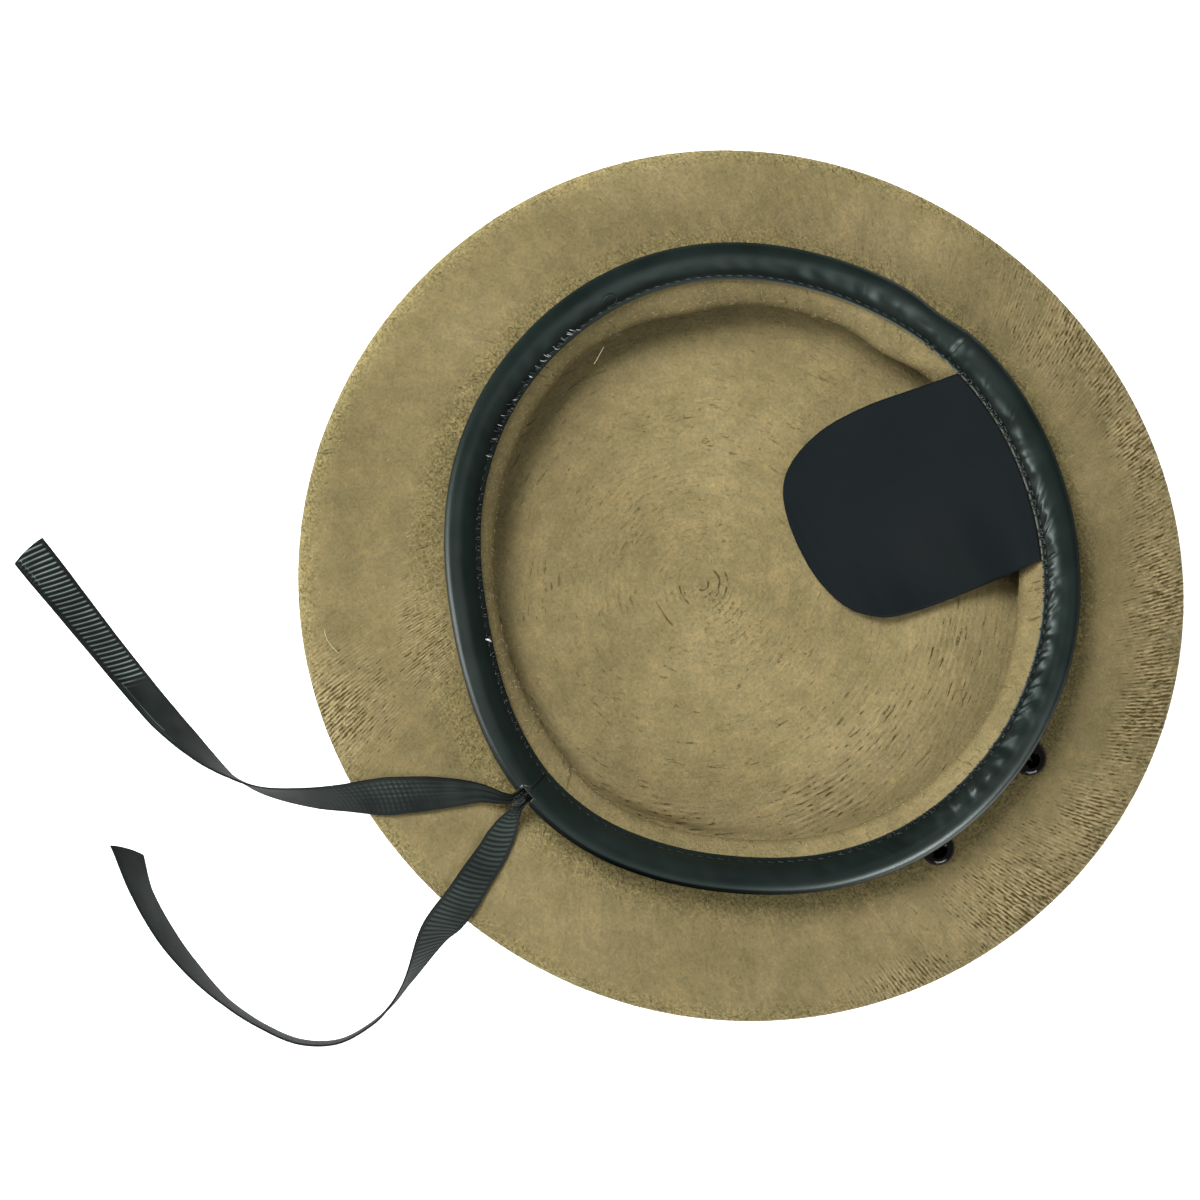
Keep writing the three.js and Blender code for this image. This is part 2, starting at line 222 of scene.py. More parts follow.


# Grosgrain: rayon warp over a thick cotton weft, dyed black. A sheen is painted into its colour,
# light on the ribs and dark in the gaps between them. Worn stretches of it are duller.
WARP_PITCH = 0.45 * MM  # real warp threads are half as wide, too fine to show
FIBRE_FUZZ = 0.556 * MM  # real fibres are a tenth as wide, too fine to show
RIBBON_WEAR = 11.1 * MM
COLOUR_MIX = {"data_type": "RGBA", "out": 2}  # sockets 0, 6 and 7 are then the share and two colours
grosgrain, tree = new_material("black_rayon_grosgrain")
across = add(tree, "Attribute", out="Fac", attribute_name="ribbon_across")
ridge = add(tree, "Attribute", out="Fac", attribute_name="ribbon_painted_sheen")
at = add(tree, "TexCoord", out="Object")
warp = add(tree, "Math", (across, 2 * math.pi / WARP_PITCH), operation="MULTIPLY")
warp = add(tree, "Math", (warp,), operation="SINE")
fuzz = add(tree, "TexNoise", {"Vector": at, "Scale": 1 / FIBRE_FUZZ, "Detail": 3})
worn = add(tree, "TexNoise", {"Vector": at, "Scale": 1 / RIBBON_WEAR})
# The colour ramp is the painted sheen: near black in the gaps, pale grey-green on the ribs.
shade = add(
    tree, "ValToRGB", (ridge,),
    stops=[(0, "#020303"), (0.35, "#171c1a"), (0.75, "#2c3532"), (1, "#8d9995")],
)
dull = add(tree, "ValToRGB", (worn,), stops=[(0.3, "#8c8c8c"), (0.7, "#ffffff")])
shade = add(tree, "Mix", {0: 1.0, 6: shade, 7: dull}, blend_type="MULTIPLY", **COLOUR_MIX)
thread = add(tree, "Math", (warp, 0.35, fuzz), operation="MULTIPLY_ADD")
surface = add(tree, "BsdfPrincipled", {
    "Base Color": shade, "Roughness": add(tree, "MapRange", (ridge, 0, 1, 0.8, 0.5)), "IOR": 1.5,
    "Specular IOR Level": 0.18, "Specular Tint": srgb("#edfff9"),
    "Normal": add(tree, "Bump", {"Strength": 0.5, "Distance": 0.08 * MM, "Height": thread}),
})
add(tree, "OutputMaterial", (surface,))


def make_tie(name, node, rows, finish, threads, slant, bow, sharp, painted_rib_sheen):
    """Lays a ribbon along its rows. slant is the slope of its cut end, bow how far the ribs bow,
    sharp how narrow they stand, and the last argument how light the sheen painted on the ribs is."""
    rows = np.array(rows) * [MM, MM, MM, MM, 1]
    even, route = along_curve(rows, RIBBON_STEP)
    place, width, lean = route[:, :3], route[:, 3:4], np.radians(route[:, 4:5])
    forward = unit(np.gradient(place, axis=0))
    level = unit(np.cross([0, 0, 1], forward))
    side = level * np.cos(lean) + np.cross(forward, level) * np.sin(lean)
    face = np.cross(forward, side)

    distance = even[:, None] / MM
    table = np.array(finish, float)
    rib, crease = (np.interp(distance, table[:, 0], table[:, k]) for k in (1, 2))
    share = np.linspace(-0.5, 0.5, RIBBON_COLUMNS + 1)[None, :]
    from_edge = (0.5 - abs(share)) * RIBBON_WIDTH
    plain = smoothstep(from_edge, 0.5 * SELVEDGE, SELVEDGE)
    # The ribs have been pulled askew and bowed by wear.
    skewed = even[:, None] + RIB_SKEW * share * RIBBON_WIDTH - bow * (1 - 4 * share**2)
    wave = 0.5 + 0.5 * np.cos(2 * math.pi * skewed / RIB_PITCH)
    crossed = 0.5 + 0.5 * np.cos(2 * math.pi * CREASES * share)
    ridge = wave**sharp * plain * rib * (1 - crease + crease * crossed**2)
    creased = crossed * plain * crease * smoothstep(-share, -0.2, 0.05)
    painted_thread_glint = 0 * ridge
    for across, start, end, dotted in threads:
        line = np.exp(-(((share - across) / THREAD_HALF) ** 2)) * ((distance > start) & (distance < end))
        dots = 0.5 + 0.5 * np.cos(2 * math.pi * distance / DOT_PITCH)
        painted_thread_glint = np.maximum(painted_thread_glint, line * (1 - dotted * (1 - dots**2)))
    # Where it is bunched the ribbon folds lengthwise, and where it lies open it cups a little.
    gathered = np.clip(1 - (width - BUNCHED_WIDTH) / (RIBBON_WIDTH - BUNCHED_WIDTH), 0, 1)
    fold = np.cos(2 * math.pi * 3 * (share + 0.07 * np.sin(even[:, None] / (9 * MM))))
    depth = 0.6 * gathered**2 * (1 - 0.7 * rib) * MM
    cup = 0.35 * MM * (4 * share**2 - 1) * (1 - gathered)
    middle = fold * depth + cup + 0.12 * MM * creased
    half = RIBBON_THICK / 2
    front = middle + half + RIB_HEIGHT * (ridge - 0.5 * plain * rib)
    back = middle - half - RIB_HEIGHT * (ridge - 0.5 * plain * rib)

    tail = smoothstep(even[:, None], even[-1] - TAIL_LENGTH, even[-1])
    shift = tail * (slant * share * RIBBON_WIDTH + 0.5 * MM * (1 - 4 * share**2))
    sheet = place[:, None] + side[:, None] * (share * width)[..., None]
    sheet = sheet + forward[:, None] * shift[..., None]
    top = sheet + face[:, None] * front[..., None]
    under = (sheet + face[:, None] * back[..., None])[:, ::-1]
    points = np.concatenate([top, under], axis=1)
    rings, around = points.shape[:2]
    points = points.reshape(-1, 3)
    points[:, 2] = np.maximum(points[:, 2], LEAST_HEIGHT)
    piece = make_piece(name, points, turned_out(points, tube_faces(rings, around)), grosgrain)
    # Painted sheen: light on ribs and crease crests, dark between ribs and at the edges, glints on loose
    # threads.
    lit = 0.35 + painted_rib_sheen * ridge + 0.25 * creased - 0.35 * plain * rib * (1 - wave)
    lit = np.maximum(lit - 0.15 * (1 - plain), painted_thread_glint)
    for kept, values in (("ribbon_across", share * RIBBON_WIDTH + 0 * middle), ("ribbon_painted_sheen", lit)):
        keep(piece, kept, np.concatenate([values, values[:, ::-1]], axis=1))
    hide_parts(node)


make_tie(
    "tie_right_ribbon", "tie_right", TIE_RIGHT, RIGHT_FINISH, RIGHT_THREADS,
    slant=0.1, bow=-0.4 * MM, sharp=1.3, painted_rib_sheen=0.65,
)
make_tie(
    "tie_left_ribbon", "tie_left", TIE_LEFT, LEFT_FINISH, [],
    slant=-0.5, bow=0.9 * MM, sharp=0.45, painted_rib_sheen=0.42,
)


# The felt body: one piece of knitted wool, fulled until the stitches close, then steamed over a
# block. The crown lies flat underneath, and the brim turns over it and down into the neck fold.
FELT_THICK = 2 * MM
RIM_RADIUS = 136.2 * MM
RIM_Y = 0.4 * MM
OPENING_Y = 7.2 * MM
STITCH_RADIUS = 89.4 * MM
STITCH_HEIGHT = 25.2 * MM
FLARE = math.radians(34)
# Lobes of the two outlines. Columns: count, size in mm, azimuth in degrees.
RIM_LOBES = [(2, 2.3, 16), (3, 0.4, 30), (4, 0.3, 48)]
OPENING_LOBES = [(2, 2.1, 162), (3, 1.2, 42), (4, 0.9, 2), (5, 0.4, 60), (6, 0.4, 33)]
# Middle line of the wall. Columns: radius and height in mm, and the share of the opening's outline.
FELT_LINE = [
    (0, 1, 0), (60, 1, 0), (122, 1, 0), (128.2, 1.8, 0), (132.6, 4.4, 0), (135, 8.2, 0),
    (134.2, 12, 0), (130.4, 14.6, 0.1), (122, 16.2, 0.25), (110, 17.6, 0.5), (99, 18.2, 0.75),
    (92, 17, 0.85), (88, 15.5, 0.85), (85.2, 14.9, 0.85), (83.8, 15.7, 0.85), (83.5, 17.2, 0.85),
    (84.3, 18.9, 0.88), (86.6, 22.4, 0.94),
]
FELT_IN_BINDING = 6.2 * MM
# Zones of the skin, out along the outside and back along the inside. Columns: side, where it starts
# and ends in mm along the wall's middle line, row spacing in mm, points round.
FELT_ZONES = [
    (1, 0, 14, 7, 60), (1, 14, 126, 8, 180), (1, 126, 203, 1.12, 720), (1, 203, 211, 2, 720),
    (1, 211, 216, 2.5, 180), (-1, 215, 208, 2.3, 180), (-1, 208, 193, 0.7, 720),
    (-1, 193, 180, 2, 720), (-1, 180, 90, 6, 180), (-1, 90, 42, 1.1, 360), (-1, 42, 14, 1.1, 180),
    (-1, 14, 0.5, 1.1, 60),
]
MIDDLE_RADIUS = 0.3 * MM  # of the small face that closes the middle of the crown
# Places where the neck fold stands in from its outline. Columns: azimuth and half width in
# degrees, depth in mm.
NECK_DENTS = [(106, 7, 2.1), (150, 9, 2.1), (176, 6, -1), (231, 12, -0.8), (266, 13, 1.9), (36, 8, 1)]
NECK_REACH = 6 * MM


def bulge(lobes, azimuth):
    """How far an outline stands outside its mean circle."""
    return sum(size * MM * np.cos(count * (azimuth - math.radians(at))) for count, size, at in lobes)


def on_flare(along, above):
    """A point of the flared wall, from distances along it and off it, in metres."""
    return (
        STITCH_RADIUS + along * math.cos(FLARE) - above * math.sin(FLARE),
        STITCH_HEIGHT + along * math.sin(FLARE) + above * math.cos(FLARE),
    )


def on_outline(radius, height, opening, azimuth):
    """Places of points of a turned section, on the rim's or the opening's outline."""
    out = radius + bulge(RIM_LOBES, azimuth) * (1 - opening) * radius / RIM_RADIUS
    out = out + bulge(OPENING_LOBES, azimuth) * opening
    centre = RIM_Y + (OPENING_Y - RIM_Y) * opening
    place = out * np.cos(azimuth), centre + out * np.sin(azimuth), height + 0 * azimuth
    return np.stack(np.broadcast_arrays(*place), -1)


def around_by(azimuth, middle, half_width):
    """How near azimuths in radians are to a middle one, 1 to 0. It and half_width are in degrees."""
    off = (azimuth - math.radians(middle) + math.pi) % (2 * math.pi) - math.pi
    return np.exp(-(off / math.radians(half_width)) ** 2)


def ripple(x, y, length, seed):
    """A soft irregular field of waves of about that length, mostly from -1 to 1."""
    draw = np.random.default_rng(seed)
    total = 0
    for turn, start, stretch in draw.uniform(0, 1, (7, 3)):
        heading = 2 * math.pi * turn
        along = x * math.cos(heading) + y * math.sin(heading)
        total = total + np.sin(2 * math.pi / (length * (0.7 + 0.7 * stretch)) * along + 2 * math.pi * start)
    return total / 4


def ring_faces(first, count, next_first, next_count):
    """Faces between two rings of points, one of which may hold a whole number of times as many."""
    if count == next_count:
        k = np.arange(count)
        on = (k + 1) % count
        return np.stack([first + k, first + on, next_first + on, next_first + k], -1).tolist()
    if count > next_count:
        return [f[::-1] for f in ring_faces(next_first, next_count, first, count)]
    times = next_count // count
    faces = []
    for k in range(count):
        fan = [next_first + (k * times + j) % next_count for j in range(times + 1)]
        middle = times // 2
        faces += [(first + k, fan[j + 1], fan[j]) for j in range(middle)]
        faces.append((first + k, first + (k + 1) % count, fan[middle]))
        faces += [(first + (k + 1) % count, fan[j + 1], fan[j]) for j in range(middle, times)]
    return faces


line = [(r * MM, 0, z * MM, opening) for r, z, opening in FELT_LINE]
for along in (0, 0.5 * FELT_IN_BINDING, FELT_IN_BINDING):
    r, z = on_flare(along, 0)
    line.append((r, 0, z, 1))
run, line = along_curve(line, 0.05 * MM)
forward = unit(np.gradient(line[:, [0, 2]], axis=0))
line_out = np.stack([forward[:, 1], -forward[:, 0]], -1)
fold_at = run[np.argmin(np.where(run > 150 * MM, line[:, 0], 1))]

places, runs, sides, faces, before = [], [], [], [], None
total = 0
for side, start, end, spacing, count in FELT_ZONES:
    rows = max(1, round(abs(end - start) / spacing))
    for at in np.linspace(start, end, rows, endpoint=False) * MM:
        k = min(np.searchsorted(run, at), len(run) - 1)
        azimuth = np.arange(count) * 2 * math.pi / count
        radius = max(line[k, 0] + side * line_out[k, 0] * FELT_THICK / 2, 0)
        height = line[k, 2] + side * line_out[k, 1] * FELT_THICK / 2
        if at < 0.1 * MM:
            radius = MIDDLE_RADIUS
        near_fold = math.exp(-((run[k] - fold_at) / NECK_REACH) ** 2)
        dent = sum(depth * MM * around_by(azimuth, middle, half) for middle, half, depth in NECK_DENTS)
        places.append(on_outline(radius - dent * near_fold, height, line[k, 3], azimuth))
        runs.append(np.full(count, at / MM))
        sides.append(np.full(count, side))
        if before is not None:
            faces += ring_faces(*before, total, count)
        before = (total, count)
        total += count
faces.insert(0, tuple(range(len(places[0])))[::-1])
faces.append(tuple(range(total - before[1], total)))
places, runs, sides = np.vstack(places), np.concatenate(runs), np.concatenate(sides)

# The brim isn't flat: it lies in soft waves, with a shallow valley inside the rim on one side.
rim_at = run[np.argmax(line[:, 0])] / MM
fold_at = fold_at / MM
x, y = places[:, 0], places[:, 1]
azimuth, radius = np.arctan2(y - RIM_Y, x), np.hypot(x, y - RIM_Y)
outside = sides > 0
on_brim = outside * smoothstep(runs, rim_at, rim_at + 10)
on_brim = on_brim * (1 - smoothstep(runs, fold_at - 16, fold_at - 6))
valley = around_by(azimuth, 206, 34) * np.exp(-((runs - rim_at - 20) / 7) ** 2)
waves = 0.45 * ripple(x, y, 60 * MM, 5) + 0.1 * ripple(x, y, 11 * MM, 6)
places[:, 2] += on_brim * MM * (waves - 0.6 * valley)
at_rim = np.exp(-((runs - rim_at - 1) / 5.5) ** 2) * outside
at_band = np.exp(-((runs - fold_at + 19) / 6) ** 2) * outside
# Where the knitted ribs still show. Columns: azimuth and half width in degrees, inner and outer
# radius in mm, strength.
RIB_PATCHES = [
    (68, 14, 122, 150, 1), (84, 10, 112, 150, 0.8), (46, 10, 118, 150, 1), (30, 12, 122, 150, 1),
    (12, 8, 118, 150, 0.9), (-2, 10, 112, 150, 1), (-20, 9, 126, 150, 0.7), (243, 7, 112, 150, 1),
    (236, 9, 90, 107, 1.2),
]
RIBS_ROUND = 680
RIB_SLANT = math.radians(25)
ribs = np.zeros(len(places))
for middle, half, inner, outer, strength in RIB_PATCHES:
    patch = strength * around_by(azimuth, middle, half) * smoothstep(radius / MM, inner - 4, inner + 5)
    ribs = np.maximum(ribs, patch * (1 - smoothstep(radius / MM, outer - 4, outer + 4)))
showing = outside * smoothstep(runs, rim_at - 3, rim_at)
ribs *= showing * (0.55 + 0.45 * smoothstep(radius, 118 * MM, 131 * MM))
lean = math.tan(RIB_SLANT) * (1 - 0.45 * around_by(azimuth, -5, 45) - 0.3 * around_by(azimuth, 62, 25))
phase = RIBS_ROUND * (azimuth - lean * np.log(np.maximum(radius, 1 * MM) / (110 * MM)))
# Inside, rows of stitches wind round the middle of the crown, and wrinkle by the neck fold.
# Columns of the wrinkles: azimuth and half width in degrees, radius in mm, strength, reach in mm.
WHORL = (-8.3 * MM, -7.5 * MM)
WRINKLE_PITCH = 1.8 * MM
WRINKLE_PATCHES = [
    (-22, 14, 72, 0.6, 10), (0, 18, 64, 0.38, 16), (28, 14, 70, 0.42, 12), (-60, 14, 76, 0.5, 7),
    (-100, 12, 76, 0.3, 6),
]
inside = sides < 0
on_floor = inside & (runs < 100)
turn = np.arctan2(y - WHORL[1], x - WHORL[0])
from_whorl = np.hypot(x - WHORL[0], y - WHORL[1])
phase = np.where(inside, 2 * math.pi * from_whorl / WRINKLE_PITCH, phase)
for middle, half, at, strength, wide in WRINKLE_PATCHES:
    patch = strength * around_by(azimuth, middle, half) * np.exp(-((radius / MM - at) / wide) ** 2)
    ribs = np.maximum(ribs, patch * on_floor)
# The way that stitches run, as a place in space that has no seam: rows 1.6 mm apart, and stitches
# drawn 5 mm long.
STITCH_ACROSS = 79
STITCH_LONG = 5 * MM
WHORL_ACROSS = 9
WHORL_ROW = 1.2 * MM
slanted = azimuth - lean * np.log(np.maximum(radius, 1 * MM) / (130 * MM))
ways = [STITCH_ACROSS * np.cos(slanted), STITCH_ACROSS * np.sin(slanted), radius / STITCH_LONG]
round_whorl = [WHORL_ACROSS * np.cos(turn), WHORL_ACROSS * np.sin(turn), from_whorl / WHORL_ROW]
ways = np.where(on_floor[:, None], np.stack(round_whorl, -1), np.stack(ways, -1))
# Where those rows show most. Columns: azimuth about the whorl and half width in degrees, strength.
RINGED_SIDES = [(0, 45, 0.6), (-120, 45, 0.8), (165, 40, 0.7)]
ringed = 0.3
for middle, half, strength in RINGED_SIDES:
    ringed = ringed + strength * around_by(turn, middle, half)
ringed = on_floor * ringed * (0.6 + 0.4 * np.exp(-from_whorl / (40 * MM)))
# Painted shade along the foot of the neck fold on the crown's inside, strongest at two places.
opening_at = np.arctan2(y - OPENING_Y, x)
inset = 82.5 * MM + 0.85 * bulge(OPENING_LOBES, opening_at) - np.hypot(x, y - OPENING_Y)
crease = np.exp(-(((inset - 0.6 * MM) / (1.7 * MM)) ** 2)) * on_floor
crease *= 0.2 + 1.2 * around_by(opening_at, -66, 17) + 1.6 * around_by(opening_at, 49, 5)
# Painted shade along the neck fold itself, on the inside.
painted_fold_shade = np.exp(-(((runs - fold_at) / 2.2) ** 2)) * inside

# Fulled wool: khaki, mottled by the dyed lots of wool that were spun together, with a short nap
# that stands up along folds and seams. Where the fulling was lighter the knitting still shows.
LOT_SIZE = 41.7 * MM
PATCH_SIZE = 10.5 * MM
DENT_SIZE = 3.33 * MM
FLECK_SIZE = 0.87 * MM  # real flecks of nap are a quarter of a millimetre wide, too fine to show
LIGHT_FLECK_SIZE = 0.909 * MM
wool, tree = new_material("khaki_fulled_wool")
at = add(tree, "TexCoord", out="Object")
nap, ribbed, turning, fold, crown, outer, painted_rim_light_share = (
    add(tree, "Attribute", out="Fac", attribute_name="felt_" + name)
    for name in ("nap", "ribs", "phase", "fold", "crown", "outside", "painted_rim_light")
)
ways_at = add(tree, "Attribute", out="Vector", attribute_name="felt_ways")
lots = add(tree, "TexNoise", {"Vector": at, "Scale": 1 / LOT_SIZE, "Detail": 3, "Roughness": 0.6})
colour = add(tree, "ValToRGB", (lots,), stops=[(0.3, "#897d5a"), (0.5, "#958863"), (0.7, "#a1936d")])

# Mottling, from coarse to fine: patches where the lots overlap, strokes along the stitches, and
# small dents. Each is laid over the wool from a dark to a light tint.
patches, dents = (
    add(tree, "TexNoise", {
        "Vector": at, "Scale": 1 / size, "Detail": 3, "Roughness": rough, "Distortion": bent,
    })
    for size, rough, bent in ((PATCH_SIZE, 0.55, 0), (DENT_SIZE, 0.65, 0.6))
)
# The scales of strokes, dashes and streaks are in stitches, since ways_at is too.
strokes, dashes, streaks = (
    add(tree, "TexNoise", {
        "Vector": ways_at, "Scale": scale, "Detail": detail, "Roughness": rough, "Distortion": bent,
    })
    for scale, detail, rough, bent in ((0.3, 4, 0.62, 0.9), (1, 3, 0.6, 0.3), (2.1, 3, 0.62, 0.25))
)
for mottling, share, half, dark_code, light_code in (
    (patches, 0.18, 0.18, "#62684f", "#a6988a"),
    (strokes, 0.2, 0.16, "#575c44", "#aea391"),
    (dents, 0.3, 0.2, "#55563f", "#aaa592"),
):
    stops = [(0.5 - half, dark_code), (0.5, "#808080"), (0.5 + half, light_code)]
    tint = add(tree, "ValToRGB", (mottling,), stops=stops)
    colour = add(tree, "Mix", {0: share, 6: colour, 7: tint}, blend_type="OVERLAY", **COLOUR_MIX)
# The outside is drawn a little darker than the crown's inside.
share = add(tree, "Math", (outer, 0.2), operation="MULTIPLY")
colour = add(tree, "Mix", {0: share, 6: colour, 7: srgb("#000000")}, **COLOUR_MIX)
flecks = add(tree, "TexNoise", {"Vector": at, "Scale": 1 / FLECK_SIZE, "Detail": 3, "Roughness": 0.7})
tint = add(
    tree, "ValToRGB", (flecks,),
    stops=[(0.37, "#5a5b40"), (0.47, "#b0b1a2"), (0.54, "#bdbfb2"), (0.64, "#ecedda")],
)
in_nap = add(tree, "MapRange", (nap, 0.1, 1, 0.2, 0.95))
off_ribs = add(tree, "MapRange", (ribbed, 0, 1, 1, 0.4))
share = add(tree, "Math", (in_nap, off_ribs), operation="MULTIPLY")
colour = add(tree, "Mix", {0: share, 6: colour, 7: tint}, blend_type="OVERLAY", **COLOUR_MIX)

# Short dark dashes along the stitches: a few everywhere, more in the nap, and most where the
# ribs show. Where many lie together, a highlight is painted on the wool between them.
wobble = add(tree, "TexNoise", {"Vector": at, "Scale": 1 / (4.17 * MM), "Detail": 3, "Roughness": 0.65})
wobble = add(tree, "Math", (wobble, 5.5), operation="MULTIPLY")
wave = add(tree, "Math", (turning, wobble), operation="ADD")
wave = add(tree, "Math", (wave,), operation="COSINE")
streaks = add(tree, "Math", (wave, 0.105, streaks), operation="MULTIPLY_ADD")
loosely = add(tree, "TexNoise", {"Vector": at, "Scale": 1 / (11.8 * MM), "Detail": 3})
loosely = add(tree, "MapRange", (loosely, 0.3, 0.5, 0.35, 1))
ribbed = add(tree, "Math", (ribbed, loosely), operation="MULTIPLY")
crowd = ribbed
for place, strength in ((nap, 0.35), (crown, 0.1)):
    share = add(tree, "Math", (place, strength), operation="MULTIPLY")
    crowd = add(tree, "Math", (crowd, share), operation="MAXIMUM")
level = add(tree, "Math", (crowd, -0.19, 0.735), operation="MULTIPLY_ADD")
lines = add(tree, "Math", (streaks, level), operation="SUBTRACT")
lines = add(tree, "MapRange", (lines, 0, 0.07))
crowded = add(tree, "MapRange", (crowd, 0, 0.25, 0.35, 1))
lines = add(tree, "Math", (lines, crowded), operation="MULTIPLY")
painted_ridge_highlight = add(tree, "MapRange", (streaks, 0.47, 0.36))
painted_ridge_highlight = add(tree, "Math", (painted_ridge_highlight, ribbed), operation="MULTIPLY")
few = add(tree, "MapRange", (dashes, 0.63, 0.7))
here_and_there = add(tree, "TexNoise", {"Vector": at, "Scale": 1 / (16.7 * MM)})
for share in (
    add(tree, "MapRange", (here_and_there, 0.42, 0.65)),
    add(tree, "MapRange", (outer, 0, 1, 1, 0.35)),
    0.75,
):
    few = add(tree, "Math", (few, share), operation="MULTIPLY")

# Inside, the rows show as broken arcs round the middle of the crown, and the first few as creases.
# Columns: radius in mm, azimuth of its middle, and the least share of the radius that it keeps to.
WHORL_CREASES = [(7.8, 36, 0.77), (6.9, 243, 0.8), (1.7, 0, 0.1), (15, 262, 0.985), (5.3, 60, 0.85)]
CREASE_HALF = 0.42 * MM
ROW_PITCH = 2.1 * MM
from_middle = add(tree, "VectorMath", (at, (*WHORL, 2 * MM)), operation="SUBTRACT")
away = add(tree, "VectorMath", (from_middle,), out="Value", operation="LENGTH")
bent = add(tree, "Math", (patches, 3 * MM, -1.5 * MM), operation="MULTIPLY_ADD")
bent = add(tree, "Math", (away, bent), operation="ADD")
creases = 0
for radius_mm, facing, least in WHORL_CREASES:
    towards = (math.cos(math.radians(facing)), math.sin(math.radians(facing)), 0)
    side = add(tree, "VectorMath", (from_middle, towards), out="Value", operation="DOT_PRODUCT")
    full = least + 0.2 * (1 - least)
    side = add(tree, "MapRange", (side, least * radius_mm * MM, full * radius_mm * MM))
    off = add(tree, "Math", (bent, radius_mm * MM), operation="SUBTRACT")
    off = add(tree, "Math", (off,), operation="ABSOLUTE")
    line = add(tree, "MapRange", (off, 0, CREASE_HALF, 1, 0))
    line = add(tree, "Math", (line, side), operation="MULTIPLY")
    creases = add(tree, "Math", (creases, line), operation="MAXIMUM")
for share in (add(tree, "MapRange", (dents, 0.4, 0.5)), add(tree, "MapRange", (crown, 0, 0.1))):
    creases = add(tree, "Math", (creases, share), operation="MULTIPLY")
swirl = add(tree, "Math", (patches, 16), operation="MULTIPLY")
swirl = add(tree, "Math", (away, 2 * math.pi / ROW_PITCH, swirl), operation="MULTIPLY_ADD")
swirl = add(tree, "Math", (swirl,), operation="COSINE")
for share in (add(tree, "MapRange", (away, 3 * MM, 70 * MM, 1, 0.3)), crown):
    swirl = add(tree, "Math", (swirl, share), operation="MULTIPLY")
arcs = add(tree, "MapRange", (swirl, 0.3, 0.8, 0, 0.7))
broken = add(tree, "TexNoise", {"Vector": at, "Scale": 1 / (18.2 * MM), "Detail": 3})
for share in (add(tree, "MapRange", (dashes, 0.48, 0.6)), add(tree, "MapRange", (broken, 0.44, 0.56))):
    arcs = add(tree, "Math", (arcs, share), operation="MULTIPLY")
arcs = add(tree, "Math", (arcs, creases), operation="MAXIMUM")

dark = add(tree, "Math", (lines, few), operation="MAXIMUM")
dark = add(tree, "Math", (dark, arcs), operation="MAXIMUM")
# Dark dashes, and a painted highlight on the wool between them.
for place, strength, code in ((dark, 0.9, "#3c310f"), (painted_ridge_highlight, 0.42, "#c6b288")):
    share = add(tree, "Math", (place, strength), operation="MULTIPLY")
    colour = add(tree, "Mix", {0: share, 6: colour, 7: srgb(code)}, **COLOUR_MIX)
# Pale flecks in the nap: paler fibres with a painted highlight on them.
fleck_highlight = add(tree, "TexNoise", {"Vector": at, "Scale": 1 / LIGHT_FLECK_SIZE, "Roughness": 0.6})
fleck_highlight = add(tree, "MapRange", (fleck_highlight, 0.62, 0.72))
in_nap = add(tree, "MapRange", (nap, 0.1, 1, 0, 0.6))
share = add(tree, "Math", (fleck_highlight, in_nap), operation="MULTIPLY")
colour = add(tree, "Mix", {0: share, 6: colour, 7: srgb("#ada183")}, **COLOUR_MIX)
# Painted light on the rim, most on the side facing the lamps, and a little on the nap by the binding.
colour = add(
    tree, "Mix", {0: painted_rim_light_share, 6: colour, 7: srgb("#ffffff")}, blend_type="SOFT_LIGHT", **COLOUR_MIX
)
# Painted shade darkens the wool along the neck fold and at its foot.
share = add(tree, "Math", (fold, 0.55), operation="MULTIPLY")
colour = add(tree, "Mix", {0: share, 6: colour, 7: srgb("#4a4026")}, **COLOUR_MIX)
sunk = add(tree, "Math", (dark, -0.9), operation="MULTIPLY")
height = add(tree, "MapRange", (nap, 0, 1, 0.35, 1))
height = add(tree, "Math", (flecks, height, sunk), operation="MULTIPLY_ADD")
for pattern, tall in ((patches, 0.8), (dents, 0.9), (strokes, 0.8), (swirl, 0.12)):
    height = add(tree, "Math", (pattern, tall, height), operation="MULTIPLY_ADD")
surface = add(tree, "BsdfPrincipled", {
    "Base Color": colour, "Roughness": 0.95, "IOR": 1.45, "Specular IOR Level": 0.2,
    "Specular Tint": srgb("#d9c98f"), "Sheen Weight": 0.1, "Sheen Tint": srgb("#c9b67c"),
    "Sheen Roughness": 0.6,
    "Normal": add(tree, "Bump", {"Strength": 1, "Distance": 0.45 * MM, "Height": height}),
})
add(tree, "OutputMaterial", (surface,))

# Each eyelet sits in a hole of the brim's upper wall, a little wider than its barrel.
EYELET_HOLE = 3.7 * MM
faces = turned_out(places, faces)
for node in ("eyelet_front", "eyelet_back"):
    low, high = (np.array(corner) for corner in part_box(node))
    off = np.hypot(*(places[:, :2] - (low + high)[:2] / 2).T)
    gone = (off < EYELET_HOLE) & (places[:, 2] > low[2] - 3 * MM)
    faces = [face for face in faces if not gone[list(face)].any()]
felt = make_piece("felt_cap", places, faces, wool)
felt_places = places
felt_normals = np.zeros(3 * len(places))
felt.data.vertices.foreach_get("normal", felt_normals)
felt_normals = felt_normals.reshape(-1, 3)
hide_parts("felt_body")
keep(felt, "felt_nap", np.maximum(np.maximum(at_rim, 0.65 * at_band), 0.1 * on_floor))
keep(felt, "felt_ribs", ribs)
keep(felt, "felt_phase", phase)
keep(felt, "felt_crown", ringed)
# Painted shade of the neck fold and its foot.
keep(felt, "felt_fold", np.clip(np.maximum(painted_fold_shade, crease), 0, 1.6))
keep(felt, "felt_outside", outside)
